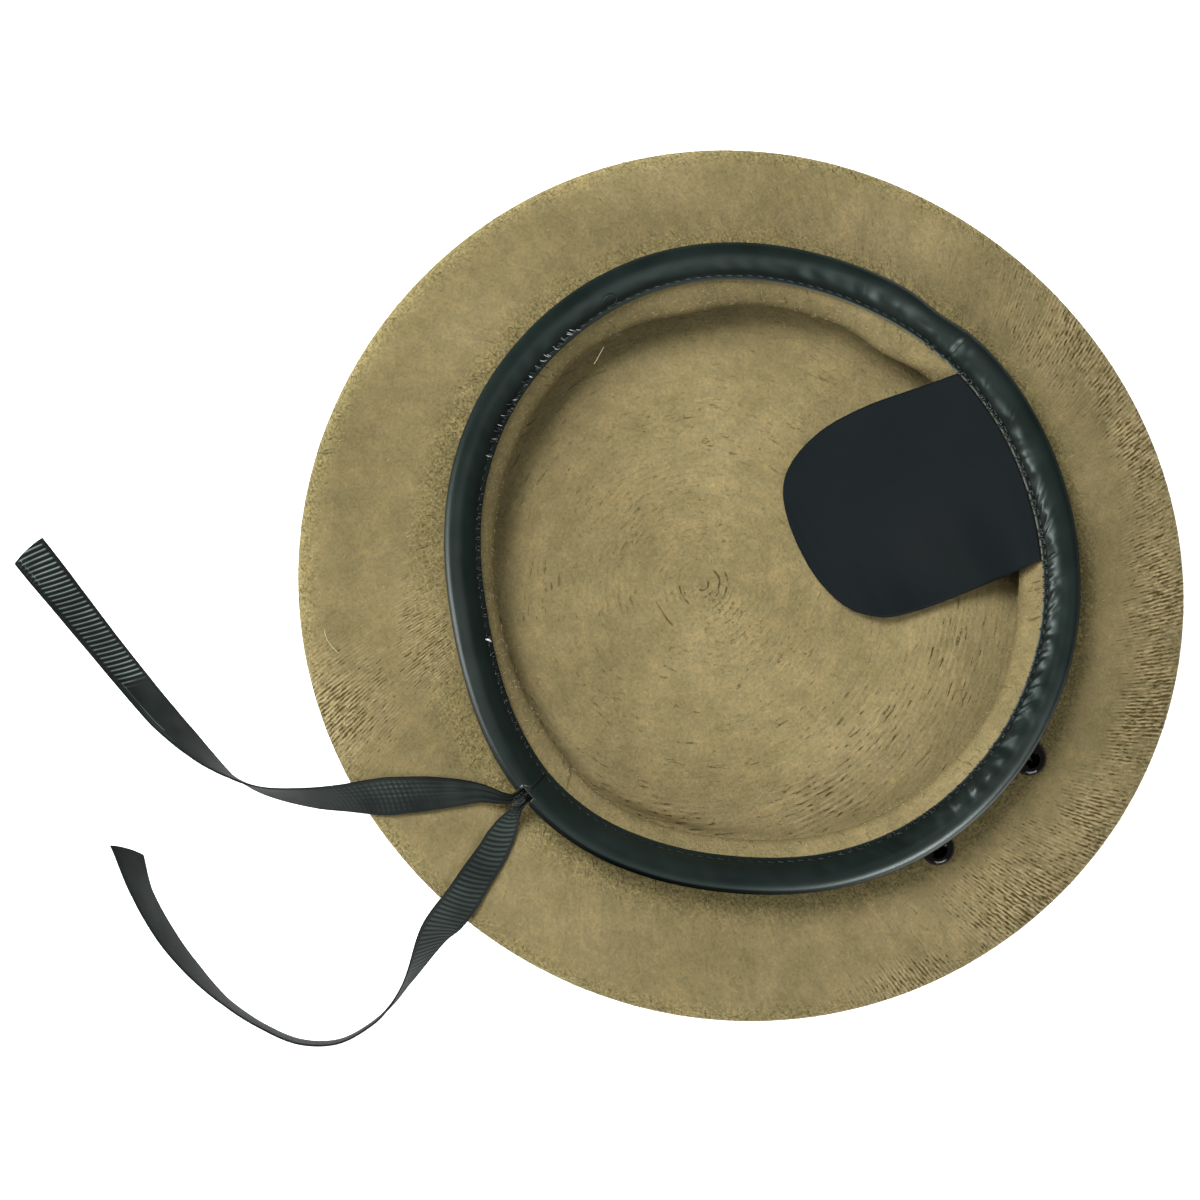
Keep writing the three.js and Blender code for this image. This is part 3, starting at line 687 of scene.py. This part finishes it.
# Painted light along the rim, and a little on the nap by the binding.
painted_rim_light = (0.3 + 0.35 * around_by(azimuth, 215, 60)) * np.exp(-((runs - rim_at) / 5) ** 2)
keep(felt, "felt_painted_rim_light", (painted_rim_light + 0.1 * np.exp(-((runs - fold_at + 13) / 6) ** 2)) * outside)
kept = felt.data.attributes.new("felt_ways", "FLOAT_VECTOR", "POINT")
kept.data.foreach_set("vector", ways.ravel())


# The binding: a strip of black sheep leather folded over the felt's edge, sewn through both leaves
# near its inner edge, and gathered on one side over the drawstring that runs inside it.
LEATHER_THICK = 1.1 * MM
# Middle line of the folded strip, from its upper leaf to its lower one, by distances on the flare.
BINDING_LINE = [
    (-0.2, 1.85), (1.6, 1.85), (4, 2.6), (6.8, 2.7), (9.2, 2.1), (10.5, 0.9), (10.6, -0.5),
    (9.7, -1.6), (8.2, -1.95), (4, -1.9), (0.5, -1.85),
]
BINDING_COLUMNS = 1240
BINDING_STEP = 0.6 * MM
BACK = -0.5 * math.pi  # azimuth of the back of the hat

_, middle = along_curve([(a * MM, b * MM, 0) for a, b in BINDING_LINE], BINDING_STEP)
middle = middle[:, :2]
forward = unit(np.gradient(middle, axis=0))
left = np.stack([-forward[:, 1], forward[:, 0]], -1)
half = LEATHER_THICK / 2
section = np.vstack([middle + left * half, (middle - left * half)[::-1]])
along, above = section[:, 0], section[:, 1]
flare_radius, flare_height = on_flare(along, above)
# The two ends of the strip meet at the back, and stand apart below and round the fold, where the
# ties come out.
gap = np.interp(flare_radius / MM, [93, 95.7], [0.25, 2.8])
meeting = 0.12 + 2.2 * smoothstep(along, 8 * MM, 10.2 * MM)
start = np.where(above > 1 * MM, np.minimum(gap, meeting), gap) * MM / flare_radius
# Two thirds of the columns are on the gathered side.
share = np.interp(np.linspace(0, 1, BINDING_COLUMNS), [0, 0.12, 0.78, 1], [0, 0.17, 0.58, 1])[:, None]
azimuth = BACK + start + share * (2 * math.pi - 2 * start)
upper = 1 - smoothstep(-above, -1.2 * MM, -0.2 * MM)
# The puckers start at one azimuth and go on over a range of others, both in degrees. They are
# deepest and closest beside the stiffener.
PUCKERS = 66
PUCKERS_FROM = -24
PUCKERS_OVER = 143
draw = np.random.default_rng(41)
pucker = 0 * azimuth
for k in range(PUCKERS):
    middle = PUCKERS_FROM + PUCKERS_OVER * (k + draw.uniform(0, 1)) / PUCKERS
    tall, half, reach = draw.uniform(0.1, 0.5), draw.uniform(0.6, 1.6), draw.uniform(1.6, 4.2)
    slant, start_at = draw.uniform(-0.3, 0.6), draw.uniform(1.8, 4.4)
    if 16 < middle < 62:
        tall, half, start_at = 0.35 + 1.1 * tall, 0.55 * half, 0.5 * start_at + 1.4
        slant += 0.4
    here = np.degrees(azimuth) - slant * (along / MM - 2)
    off = (here - middle + 180) % 360 - 180
    fall = np.exp(-np.clip((along / MM - start_at) / reach, -1.5, 9) ** 2)
    pucker = np.maximum(pucker, tall * np.exp(-((off / half) ** 2)) * fall)
pucker = pucker * smoothstep(along, 0.4 * MM, 2.2 * MM)
# The stitches pull the upper leaf down into a groove, and the strip is pieced at one short seam.
groove = np.exp(-((along / MM - 1.3) / 0.5) ** 2)
pieced = around_by(azimuth, 94.5, 0.5) - 1.1 * around_by(azimuth, 95.7, 0.9)
pieced = pieced - 0.8 * around_by(azimuth, 92.9, 1)
# Round bumps push the crest up beside the eyelets. Columns: azimuth in degrees, height in mm.
BOSSES = [
    (-12, 0.3), (-7.4, 0.5), (-2.9, 0.6), (1.2, 0.85), (5.1, 0.6), (8.7, 0.45), (14, 0.4), (19, 0.35),
]
boss = sum(tall * around_by(azimuth, at, 1.3) for at, tall in BOSSES)
boss = boss * np.exp(-((along / MM - 6.4) / 1.8) ** 2)
soft = ripple(np.cos(azimuth) * 90 * MM, np.sin(azimuth) * 90 * MM, 26 * MM, 8)
rumple = ripple(flare_radius * np.cos(azimuth), flare_radius * np.sin(azimuth), 7 * MM, 12)
rumple = rumple * np.exp(-((along / MM - 5) / 3) ** 2) * (0.35 + around_by(azimuth, 50, 80))
lift = MM * (0.8 * pucker - 0.06 * groove - 0.3 * pieced + 0.12 * soft + 0.3 * rumple + boss) * upper
narrowed = smoothstep(along, 5 * MM, 9 * MM) * around_by(azimuth, 101, 5) * 1.4 * MM
flare_radius, flare_height = on_flare(along - narrowed, above + lift)
places = on_outline(flare_radius, flare_height, 1, azimuth)
around = len(section)
faces = turned_out(places.reshape(-1, 3), tube_faces(BINDING_COLUMNS, around))

# Sheep leather, dyed through and lightly dressed: near black with a green cast, a fine pebbled
# grain and a soft broken shine. It is polished where hands have pulled on its outer fold, dull where
# it was mended, and greyer along its cut edge. Shade is painted dark down in its seam and under the
# outer fold, where its shine is taken out too.
GRAIN_SIZE = 0.625 * MM  # real grain is half as wide, too fine to show
leather, tree = new_material("black_sheep_leather")
at = add(tree, "TexCoord", out="Object")
cut, polish, painted_seam_shade = (
    add(tree, "Attribute", out="Fac", attribute_name="binding_" + name) for name in ("cut", "polish", "painted_seam_shade")
)
grain = add(
    tree, "TexVoronoi", {"Vector": at, "Scale": 1 / GRAIN_SIZE}, feature="DISTANCE_TO_EDGE"
)
creased = add(tree, "TexNoise", {"Vector": at, "Scale": 1 / (3.33 * MM), "Detail": 4})
worn = add(tree, "TexNoise", {"Vector": at, "Scale": 1 / (16.7 * MM), "Detail": 3})
colour = add(tree, "ValToRGB", (worn,), stops=[(0.3, "#0b1311"), (0.7, "#141c1a")])
colour = add(tree, "Mix", {0: cut, 6: colour, 7: srgb("#747a71")}, **COLOUR_MIX)
# Painted shade: near black down in the seam and under the outer fold.
share = add(tree, "MapRange", (painted_seam_shade, 0.6, 1, 0, 0.85))
colour = add(tree, "Mix", {0: share, 6: colour, 7: srgb("#020303")}, **COLOUR_MIX)
height = add(tree, "Math", (grain, 0.4, creased), operation="MULTIPLY_ADD")
rough = add(tree, "MapRange", (worn, 0.3, 0.7, 0.5, 0.56))
rough = add(tree, "Math", (polish, -0.22, rough), operation="MULTIPLY_ADD")
grainy = add(tree, "MapRange", (polish, 0, 0.8, 0.35, 0.14))
shine = add(tree, "MapRange", (polish, 0, 1, 0.1, 0.55))
in_the_open = add(tree, "Math", (1, painted_seam_shade), operation="SUBTRACT")
surface = add(tree, "BsdfPrincipled", {
    "Base Color": colour, "Roughness": rough, "IOR": 1.5,
    "Specular IOR Level": add(tree, "Math", (shine, in_the_open), operation="MULTIPLY"),
    "Specular Tint": srgb("#e7fff8"), "Coat Roughness": 0.34, "Coat IOR": 1.4,
    "Coat Weight": add(tree, "Math", (polish, polish), operation="MULTIPLY"),
    "Normal": add(tree, "Bump", {"Strength": grainy, "Distance": 0.1 * MM, "Height": height}),
})
add(tree, "OutputMaterial", (surface,))
binding = make_piece("binding_strip", places.reshape(-1, 3), faces, leather)
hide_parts("leather_binding")
inner_cut = np.exp(-((along / MM + 0.2) / 0.25) ** 2) * (above > 0) * np.ones_like(azimuth)
# Where the strip shines, in turn: its outer fold on two sides, the upper leaf beside the short seam,
# the inner slope by the puckers, the crest by the eyelets, and the upper leaf at the back.
folded = smoothstep(along, 6.5 * MM, 8.5 * MM)
polish = folded * (around_by(azimuth, 242, 32) + 0.8 * around_by(azimuth, -4, 30))
polish = np.maximum(polish, 0.4 * around_by(azimuth, 104, 18) * smoothstep(along, 1.8 * MM, 3 * MM))
inner_slope = smoothstep(along, 1.4 * MM, 2.6 * MM) * (1 - smoothstep(along, 4 * MM, 7.5 * MM))
polish = np.maximum(polish, 0.75 * around_by(azimuth, 52, 46) * inner_slope)
polish = np.maximum(polish, 0.75 * around_by(azimuth, 1, 13) * np.exp(-((along / MM - 5.5) / 2.2) ** 2))
polish = np.maximum(polish, 0.45 * around_by(azimuth, -62, 36) * (1 - smoothstep(along, 7 * MM, 10 * MM)))
keep(binding, "binding_polish", polish + 0 * azimuth)
# Painted shade down in the seam's groove and along the underside of the outer fold.
painted_groove_shade = np.exp(-((along / MM - 1.2) / 0.55) ** 2) * (above > 0) * (0.4 + 0.6 * around_by(azimuth, 50, 60))
painted_fold_edge_shade = smoothstep(along, 8 * MM, 9 * MM) * (1 - smoothstep(above, 0.9 * MM, 2.1 * MM))
painted_fold_edge_shade = painted_fold_edge_shade * (1 - around_by(azimuth, -6, 17)) * (0.55 + 0.45 * around_by(azimuth, -66, 45))
keep(binding, "binding_painted_seam_shade", np.maximum(painted_groove_shade, painted_fold_edge_shade))
keep(binding, "binding_cut", inner_cut * np.clip(around_by(azimuth, 80, 62) * 1.6, 0, 1))


# The stitching: two-ply black thread, one row of 3 mm stitches through both leaves, and on one side
# a run of longer whip stitches where the binding was mended by hand, with one loose loop.
THREAD_THICK = 0.5 * MM
FINE_THREAD = 0.3 * MM
STITCH_PITCH = 3.1 * MM
THREAD_ROUND = 6
thread_places, thread_faces = [], []


def draw_out(path, thick, store, store_faces):
    """Adds a round thread along a path, with blunt ends, to a list of points and one of faces."""
    path = np.asarray(path)
    forward = unit(np.gradient(path, axis=0))
    level = unit(np.cross(forward, [0.13, 0.21, 0.97]))
    up = np.cross(level, forward)
    share = np.linspace(-1, 1, len(path))
    size = thick / 2 * np.sqrt(np.clip(1.02 - share**6, 0, 1))
    turn = np.arange(THREAD_ROUND) * 2 * math.pi / THREAD_ROUND
    ring = level[:, None] * np.cos(turn)[:, None] + up[:, None] * np.sin(turn)[:, None]
    points = (path[:, None] + ring * size[:, None, None]).reshape(-1, 3)
    first = sum(len(part) for part in store)
    made = turned_out(points, tube_faces(len(path), THREAD_ROUND))
    store.append(points)
    store_faces += [tuple(first + k for k in face) for face in made]


def on_leather(azimuth, along, above):
    """Points by their azimuths about the opening and their distances on the flare in mm."""
    radius, height = on_flare(np.asarray(along) * MM, np.asarray(above) * MM)
    return on_outline(radius, height, 1, np.asarray(azimuth))


# One row shows on each leaf. Columns: distances along and off the flare, and rise, in mm.
for along_at, above_at, lifted in ((1.35, 2.3, 0.12), (1.35, -2.5, -0.12)):
    stitches = round(2 * math.pi * STITCH_RADIUS / STITCH_PITCH)
    for k in range(stitches):
        middle = BACK + 2 * math.pi * (k + 0.5) / stitches
        span = 0.36 * STITCH_PITCH / STITCH_RADIUS
        share = np.linspace(-1, 1, 7)
        rise = lifted * (1 - 2.2 * share**4) - 0.1 * np.sign(lifted)
        wander = 0.12 * draw.uniform(-1, 1)
        path = on_leather(middle + span * share, along_at + wander + 0.15 * share, above_at + rise)
        thick = THREAD_THICK * (1 + (above_at > 0) * 0.6 * float(around_by(middle, 20, 55)))
        draw_out(path, thick, thread_places, thread_faces)

# The mending starts at one azimuth and goes on over a range of others, both in degrees. Its stitches
# near the start, and every third one, are drawn pale grey: a painted highlight on them.
WHIP_STITCHES = 34
MENDED_FROM = 172.5
MENDED_OVER = 31
mended, mended_faces = [], []
for k in range(WHIP_STITCHES):
    bearing = MENDED_FROM + MENDED_OVER * (k / WHIP_STITCHES) ** 1.1 + draw.uniform(-0.9, 0.9)
    highlit_here = bearing < 183 or k % 3 == 0
    middle = math.radians(bearing)
    share = np.linspace(0, 1, 9)
    reach = draw.uniform(1.1, 3)
    start_at = draw.uniform(0.2, 1.3)
    path = on_leather(
        middle + math.radians(draw.uniform(0.2, 1.3)) * share, start_at + reach * share,
        2.35 + 0.25 * share + 0.75 * np.sin(math.pi * share),
    )
    if highlit_here:
        draw_out(path, draw.uniform(0.1, 0.26) * MM, mended, mended_faces)
    else:
        draw_out(path, FINE_THREAD, thread_places, thread_faces)

# A close row of stitches bars the notch where the ties come out, with a bunch of loops over them.
for along_at in np.arange(7, 9.8, 0.28):
    wide = 0.6 + np.interp(along_at, [7, 9.5], [0.4, 2.6])
    share = np.linspace(-1, 1, 9)
    path = on_leather(BACK + wide * MM / STITCH_RADIUS * share, along_at + 0 * share, 2.1 + 0.3 * share**2)
    draw_out(path, THREAD_THICK, thread_places, thread_faces)
NOTCH_LOOPS = 30
for k in range(NOTCH_LOOPS):
    turn = np.linspace(0, 1.6 * math.pi, 13)[:, None] + draw.uniform(0, 6)
    size = draw.uniform(0.4, 0.8)
    out = draw.uniform(-97.4 if k < NOTCH_LOOPS // 2 else -94.8, -91.8)
    centre = (draw.uniform(-1, 0.9), out, np.interp(out, [-97.4, -95.6, -93.2], [26, 27.6, 29.8]))
    looped = np.hstack([np.cos(turn), np.sin(turn), 0.5 * np.cos(turn + 1)])
    path = (np.array(centre) + size * looped) * MM
    draw_out(path, FINE_THREAD, thread_places, thread_faces)
# Loose overcast stitches hold the leather's inner edge down on two sides.
OVERCAST = 170
OVERCAST_BEHIND = 60
for k in range(OVERCAST):
    bearing = draw.uniform(190, 264) if k < OVERCAST_BEHIND else draw.uniform(-30, 100)
    path = on_leather(
        np.radians(bearing + draw.uniform(-0.4, 0.4) * np.array([0, 0.3, 0.7, 1])),
        np.array([1.7, 0.9, 0.1, draw.uniform(-0.8, -0.3)]), [2.35, 2.75, 2.65, 2],
    )
    draw_out(path, draw.uniform(0.3, 0.65) * MM, thread_places, thread_faces)
# A cut end of the mending thread shows at the binding's inner edge, and one loop stands loose.
tail = on_leather(np.radians([240.2, 240.4, 240.7, 241.3]), [2.4, 1.6, 0.9, 0.1], [2.8, 2.8, 2.75, 2.5])
draw_out(tail, 0.7 * MM, mended, mended_faces)
turn = np.linspace(0, 1.8 * math.pi, 26)
bearing = math.radians(165) + 0.024 * np.cos(turn)
loop = on_leather(bearing, 4.1 + 2.1 * np.sin(turn), 3.5 + 0.5 * np.sin(turn))
draw_out(loop, 0.22 * MM, thread_places, thread_faces)

# Cotton thread, twisted from two plies: dull black, and in the mending a pale grey with a sharper
# shine, whose pale colour is a painted highlight. The light and dark of its twist are drawn coarser
# than the real plies, which are too fine to show.
thread, thread_tree = new_material("black_sewing_thread")
highlit_thread, highlit_thread_tree = new_material("grey_thread_painted_highlight")
for tree, twist_size, dark_code, light_code, rough in (
    (thread_tree, 0.667 * MM, "#040606", "#12171a", 0.5),
    (highlit_thread_tree, 3.03 * MM, "#3c4344", "#dfe6e4", 0.25),
):
    at = add(tree, "TexCoord", out="Object")
    twist = add(tree, "TexNoise", {"Vector": at, "Scale": 1 / twist_size})
    surface = add(tree, "BsdfPrincipled", {
        "Base Color": add(tree, "ValToRGB", (twist,), stops=[(0.35, dark_code), (0.65, light_code)]),
        "Roughness": rough, "IOR": 1.5,
        "Normal": add(tree, "Bump", {"Strength": 0.5, "Distance": 0.1 * MM, "Height": twist}),
    })
    add(tree, "OutputMaterial", (surface,))
make_piece("binding_stitches", np.vstack(thread_places), thread_faces, thread)
make_piece("mending_stitches", np.vstack(mended), mended_faces, highlit_thread)


# The nap: short wool fibres that stand up from the felt where it was brushed and rubbed, most along
# the rim, beside the binding and on the wall under it. A few long hairs lie loose on the felt.
FIBRES = 8000
FIBRE_ROUND = 3
FIBRE_RADIUS = 0.065 * MM  # real fibres are a fifth as thick, too fine to show
nap_at = np.maximum(np.maximum(at_rim, 0.9 * at_band), 0.04)
nap_at[inside & (runs > fold_at)] = 0.8
nap_at[on_floor] = 0.1
nap_at[outside & (runs < rim_at - 8)] = 0
nap_at[outside & (runs > fold_at - 13)] = 0
nap_at[inside & (runs > 100) & (runs < fold_at)] = 0
nap_at[inside & (runs > fold_at + 9)] = 0
picked = draw.choice(len(felt_places), FIBRES, p=nap_at / nap_at.sum())
root = felt_places[picked] + draw.uniform(-0.5, 0.5, (FIBRES, 3)) * np.array([MM, MM, 0])
outward = felt_normals[picked]
heading = unit(np.cross(outward, draw.normal(0, 1, (FIBRES, 3))))
bend = np.cross(outward, heading) * draw.uniform(-0.6, 0.6, (FIBRES, 1))
long = draw.uniform(0.7, 1.7, (FIBRES, 1)) * MM
# Each fibre rises, bends over and comes down again. Its root is sunk into the felt.
share = np.array([0, 0.35, 0.7, 1])[None, :, None]
rise = 0.9 * share - 0.75 * share**2
path = root[:, None] + long[:, None] * (
    heading[:, None] * share + bend[:, None] * share**2 + outward[:, None] * rise
) - outward[:, None] * 0.12 * MM
turn = np.arange(FIBRE_ROUND) * 2 * math.pi / FIBRE_ROUND
side = np.cross(outward, heading)
ring = side[:, None] * np.cos(turn)[:, None] + outward[:, None] * np.sin(turn)[:, None]
taper = np.array([1, 0.9, 0.6, 0.15])[None, :, None, None] * FIBRE_RADIUS
points = (path[:, :, None] + ring[:, None] * taper).reshape(-1, 3)
first = np.arange(FIBRES)[:, None, None] * 4 * FIBRE_ROUND + np.arange(3)[None, :, None] * FIBRE_ROUND
k = np.arange(FIBRE_ROUND)[None, None, :]
on = (k + 1) % FIBRE_ROUND
faces = np.stack([first + k, first + on, first + FIBRE_ROUND + on, first + FIBRE_ROUND + k], -1)

# Wool fibre, the same khaki wool as the felt, loose enough to catch the light from lot to lot.
fibre, tree = new_material("khaki_wool_fibre")
tint = add(tree, "Attribute", out="Fac", attribute_name="fibre_tint")
surface = add(tree, "BsdfPrincipled", {
    "Base Color": add(tree, "ValToRGB", (tint,), stops=[(0, "#5d5334"), (0.5, "#978860"), (1, "#bfb08a")]),
    "Roughness": 0.8, "IOR": 1.45, "Sheen Weight": 0.2,
})
add(tree, "OutputMaterial", (surface,))
# The long hairs. Columns: first end, middle and last end, in mm.
LONG_HAIRS = [
    ((-82.7, 21.2), (-81.7, 18.1), (-80.8, 15.1)),
    ((-79.4, -101.3), (-75.9, -103.2), (-70.6, -103.3)),
]
HAIR_THICK = 0.17 * MM
hair_places, hair_faces = [], []
for ends in LONG_HAIRS:
    a, b, c = (np.array(end) * MM for end in ends)
    share = np.linspace(0, 1, 16)[:, None]
    flat = a * (1 - share) ** 2 + 2 * (2 * b - (a + c) / 2) * share * (1 - share) + c * share**2
    near = np.hypot(felt_places[:, 0] - flat[:, :1], felt_places[:, 1] - flat[:, 1:])
    raised = np.max(np.where(near < 2 * MM, felt_places[:, 2], 0), axis=1, keepdims=True)
    path = np.hstack([flat, raised.max() + 0.3 * MM + 0 * raised])
    draw_out(path, HAIR_THICK, hair_places, hair_faces)
hair_places = np.vstack(hair_places)
hairs = make_piece("felt_hairs", hair_places, hair_faces, fibre)
keep(hairs, "fibre_tint", np.ones(len(hair_places)))
nap_piece = make_piece("felt_nap", points, faces.reshape(-1, 4).tolist(), fibre)
keep(nap_piece, "fibre_tint", np.repeat(draw.uniform(0, 1, FIBRES), 4 * FIBRE_ROUND))


# The badge stiffener: a leaf of black fibreboard with a smooth coating, cut to a rounded shape. It
# is sewn under the binding over the left eye and slopes down to the crown's inside.
STIFFENER_THICK = 1 * MM
STIFFENER_AZIMUTH = math.radians(74)
STIFFENER_OFFSET = 6.3 * MM
STIFFENER_REACH = 84 * MM
STIFFENER_STRAIGHT = 30 * MM
STIFFENER_INSET = 0.1 * MM
# Columns: distance down the leaf, its left and right edges and its height, in mm.
STIFFENER_ROWS = [
    (0, -31.4, 31, 26.1), (15, -33.6, 30.8, 21.6), (30, -35.7, 30, 16.2), (44, -35.8, 28.2, 10.7),
    (54, -33.2, 25.6, 6.9), (61, -29, 20.5, 4.5), (65, -23.5, 14.5, 3.4), (67.5, -15, 6.5, 3),
    (68.4, -7, 0, 3),
]
edge = on_flare(-0.2 * MM, 1.85 * MM + LEATHER_THICK / 2)[0] - STIFFENER_INSET
_, leaf = along_curve([(a * MM, l * MM, r * MM, z * MM) for a, l, r, z in STIFFENER_ROWS], 0.7 * MM)
down, left, right, height = (leaf[:, k:k + 1] for k in range(4))
share = np.linspace(0, 1, 60)[None, :]
across = STIFFENER_OFFSET + left + (right - left) * share
bearing = STIFFENER_AZIMUTH - np.arcsin(across / edge)
radius = edge + bulge(OPENING_LOBES, bearing)
arc = np.sqrt(radius**2 - across**2)
straight = smoothstep(down, 0, STIFFENER_STRAIGHT)
out = arc + (STIFFENER_REACH - arc) * straight - down
cos, sin = math.cos(STIFFENER_AZIMUTH), math.sin(STIFFENER_AZIMUTH)
x = out * cos + across * sin
y = OPENING_Y + out * sin - across * cos
# Its side towards the left ear curls down towards the crown.
CURL = 10 * MM
curl = CURL * smoothstep(down, 4 * MM, 24 * MM) * (1 - smoothstep(down, 30 * MM, 62 * MM))
z = height - curl * smoothstep(share, 0.35, 1)
sheet = np.stack([x, y, z], -1)
half = np.array([0, 0, STIFFENER_THICK / 2])
points = np.concatenate([sheet + half, (sheet - half)[:, ::-1]], axis=1)
rings, around = points.shape[:2]
points = points.reshape(-1, 3)

# Coated board, pressed and rolled: an even, matt blue-black with fine pores and hardly any shine.
board, tree = new_material("black_coated_board")
at = add(tree, "TexCoord", out="Object")
pores = add(tree, "TexNoise", {"Vector": at, "Scale": 1 / (1.43 * MM), "Detail": 4})
worn = add(tree, "TexNoise", {"Vector": at, "Scale": 1 / (25 * MM), "Detail": 3})
surface = add(tree, "BsdfPrincipled", {
    "Base Color": add(tree, "ValToRGB", (worn,), stops=[(0.3, "#0c1314"), (0.7, "#0f1417")]),
    "Roughness": 0.7, "IOR": 1.5, "Specular IOR Level": 0.07,
    "Normal": add(tree, "Bump", {"Strength": 0.3, "Distance": 0.08 * MM, "Height": pores}),
})
add(tree, "OutputMaterial", (surface,))
leaf_piece = make_piece(
    "stiffener_leaf", points, turned_out(points, tube_faces(rings, around)), board
)
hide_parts("badge_stiffener")


# The eyelets: two stamped brass grommets, enamelled glossy black, set through the brim's upper wall
# beside the binding as air holes. Each barrel is clinched over a flange inside the hat.
# Section of one, as radii and heights in mm.
EYELET_SECTION = [
    (0.8, 0.4), (0.5, -3), (1.8, -3.2), (2.6, -2.4), (4.8, -2.1), (4.9, -1.5), (3.3, -1.5), (3.3, 1.3),
    (5.15, 1.3), (5.2, 1.6), (5.05, 2), (4.7, 2.35), (4.2, 2.6), (3.6, 2.7), (3, 2.55), (2.3, 2.1),
    (1.6, 1.3),
]
EYELET_STEPS = 48
# Stoved enamel over brass: deep black, very smooth, with small sharp reflections.
enamel, tree = new_material("black_enamelled_brass")
at = add(tree, "TexCoord", out="Object")
uneven = add(tree, "TexNoise", {"Vector": at, "Scale": 1 / (2 * MM), "Detail": 3})
surface = add(tree, "BsdfPrincipled", {
    "Base Color": add(tree, "ValToRGB", (uneven,), stops=[(0.35, "#010101"), (0.75, "#040404")]),
    "Roughness": 0.05, "IOR": 1.5, "Specular IOR Level": 0.28,
    "Normal": add(tree, "Bump", {"Strength": 0.05, "Distance": 0.02 * MM, "Height": uneven}),
})
add(tree, "OutputMaterial", (surface,))
turn = np.arange(EYELET_STEPS)[:, None] * 2 * math.pi / EYELET_STEPS
r, z = (np.array(EYELET_SECTION)[None, :, k] * MM for k in (0, 1))
middle_height = 0.5 * (max(z for _, z in EYELET_SECTION) + min(z for _, z in EYELET_SECTION)) * MM
for node in ("eyelet_front", "eyelet_back"):
    low, high = (np.array(corner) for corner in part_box(node))
    centre = (low + high) / 2
    ring = np.broadcast_arrays(r * np.cos(turn), r * np.sin(turn), z - middle_height)
    points = centre + np.stack(ring, -1)
    rings, around = points.shape[:2]
    points = points.reshape(-1, 3)
    grommet = make_piece(
        node + "_grommet", points, turned_out(points, tube_faces(rings, around, closed=True)), enamel,
    )
    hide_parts(node)


# The drawstring: the same grosgrain ribbon as its ties, bunched in the tunnel between the felt's
# edge and the binding's fold. It hardly shows, so the solid itself is kept and only gets its finish.
drawstring = bpy.data.objects["drawstring"]
for slot in drawstring.material_slots:
    slot.material = grosgrain


# The table top and the light: a matt white top that glows a little so that it comes out pure white,
# white light from all round, and soft lamps.
TABLE_HALF = 3  # metres
table_mesh = bpy.data.meshes.new("table_top")
corners = [(x * TABLE_HALF, y * TABLE_HALF, 0) for x, y in ((-1, -1), (1, -1), (1, 1), (-1, 1))]
table_mesh.from_pydata(corners, [], [(0, 1, 2, 3)])
table_top = bpy.data.objects.new("table_top", table_mesh)
bpy.context.scene.collection.objects.link(table_top)
white, tree = new_material("white_table_top")
surface = add(tree, "BsdfPrincipled", {
    "Base Color": srgb("#f3f3f3"), "Roughness": 0.6, "Emission Color": srgb("#ffffff"),
    "Emission Strength": 0.9,
})
add(tree, "OutputMaterial", (surface,))
table_mesh.materials.append(white)

world = bpy.data.worlds.new("studio")
bpy.context.scene.world = world
world.use_nodes = True
world.node_tree.nodes.clear()
room = add(world.node_tree, "Background", {"Color": srgb("#ffffff"), "Strength": 0.28})
add(world.node_tree, "OutputWorld", (room,))
bpy.context.scene.view_settings.view_transform = "Standard"
# Columns: name, azimuth and elevation in degrees, distance, width and height in metres, watts,
# and whether it lights, or else shows only as a reflection.
LAMPS = [
    ("key_light", 174, 56, 1.4, 0.6, 0.6, 26.5, True), ("side_light", 232, 26, 2.6, 1.2, 0.8, 26, True),
    ("front_light", -24, 42, 1.3, 0.6, 0.3, 5.5, True), ("left_panel", 232, 30, 2.6, 2.4, 1.2, 44, False),
    ("low_panel", 222, 14, 2.6, 1.6, 0.4, 26, False), ("right_strip", -24, 42, 1.3, 0.6, 0.45, 34, False),
]
for name, azimuth, elevation, distance, width, height, power, lights in LAMPS:
    lamp = bpy.data.lights.new(name, "AREA")
    lamp.shape = "RECTANGLE"
    lamp.size = width
    lamp.size_y = height
    lamp.energy = power
    turn, rise = math.radians(azimuth), math.radians(elevation)
    holder = bpy.data.objects.new(name, lamp)
    out = distance * math.cos(rise)
    holder.location = (out * math.cos(turn), out * math.sin(turn), distance * math.sin(rise))
    holder.rotation_euler = (0.5 * math.pi - rise, 0, turn + 0.5 * math.pi)
    holder.visible_diffuse = lights
    holder.visible_glossy = not lights
    bpy.context.scene.collection.objects.link(holder)
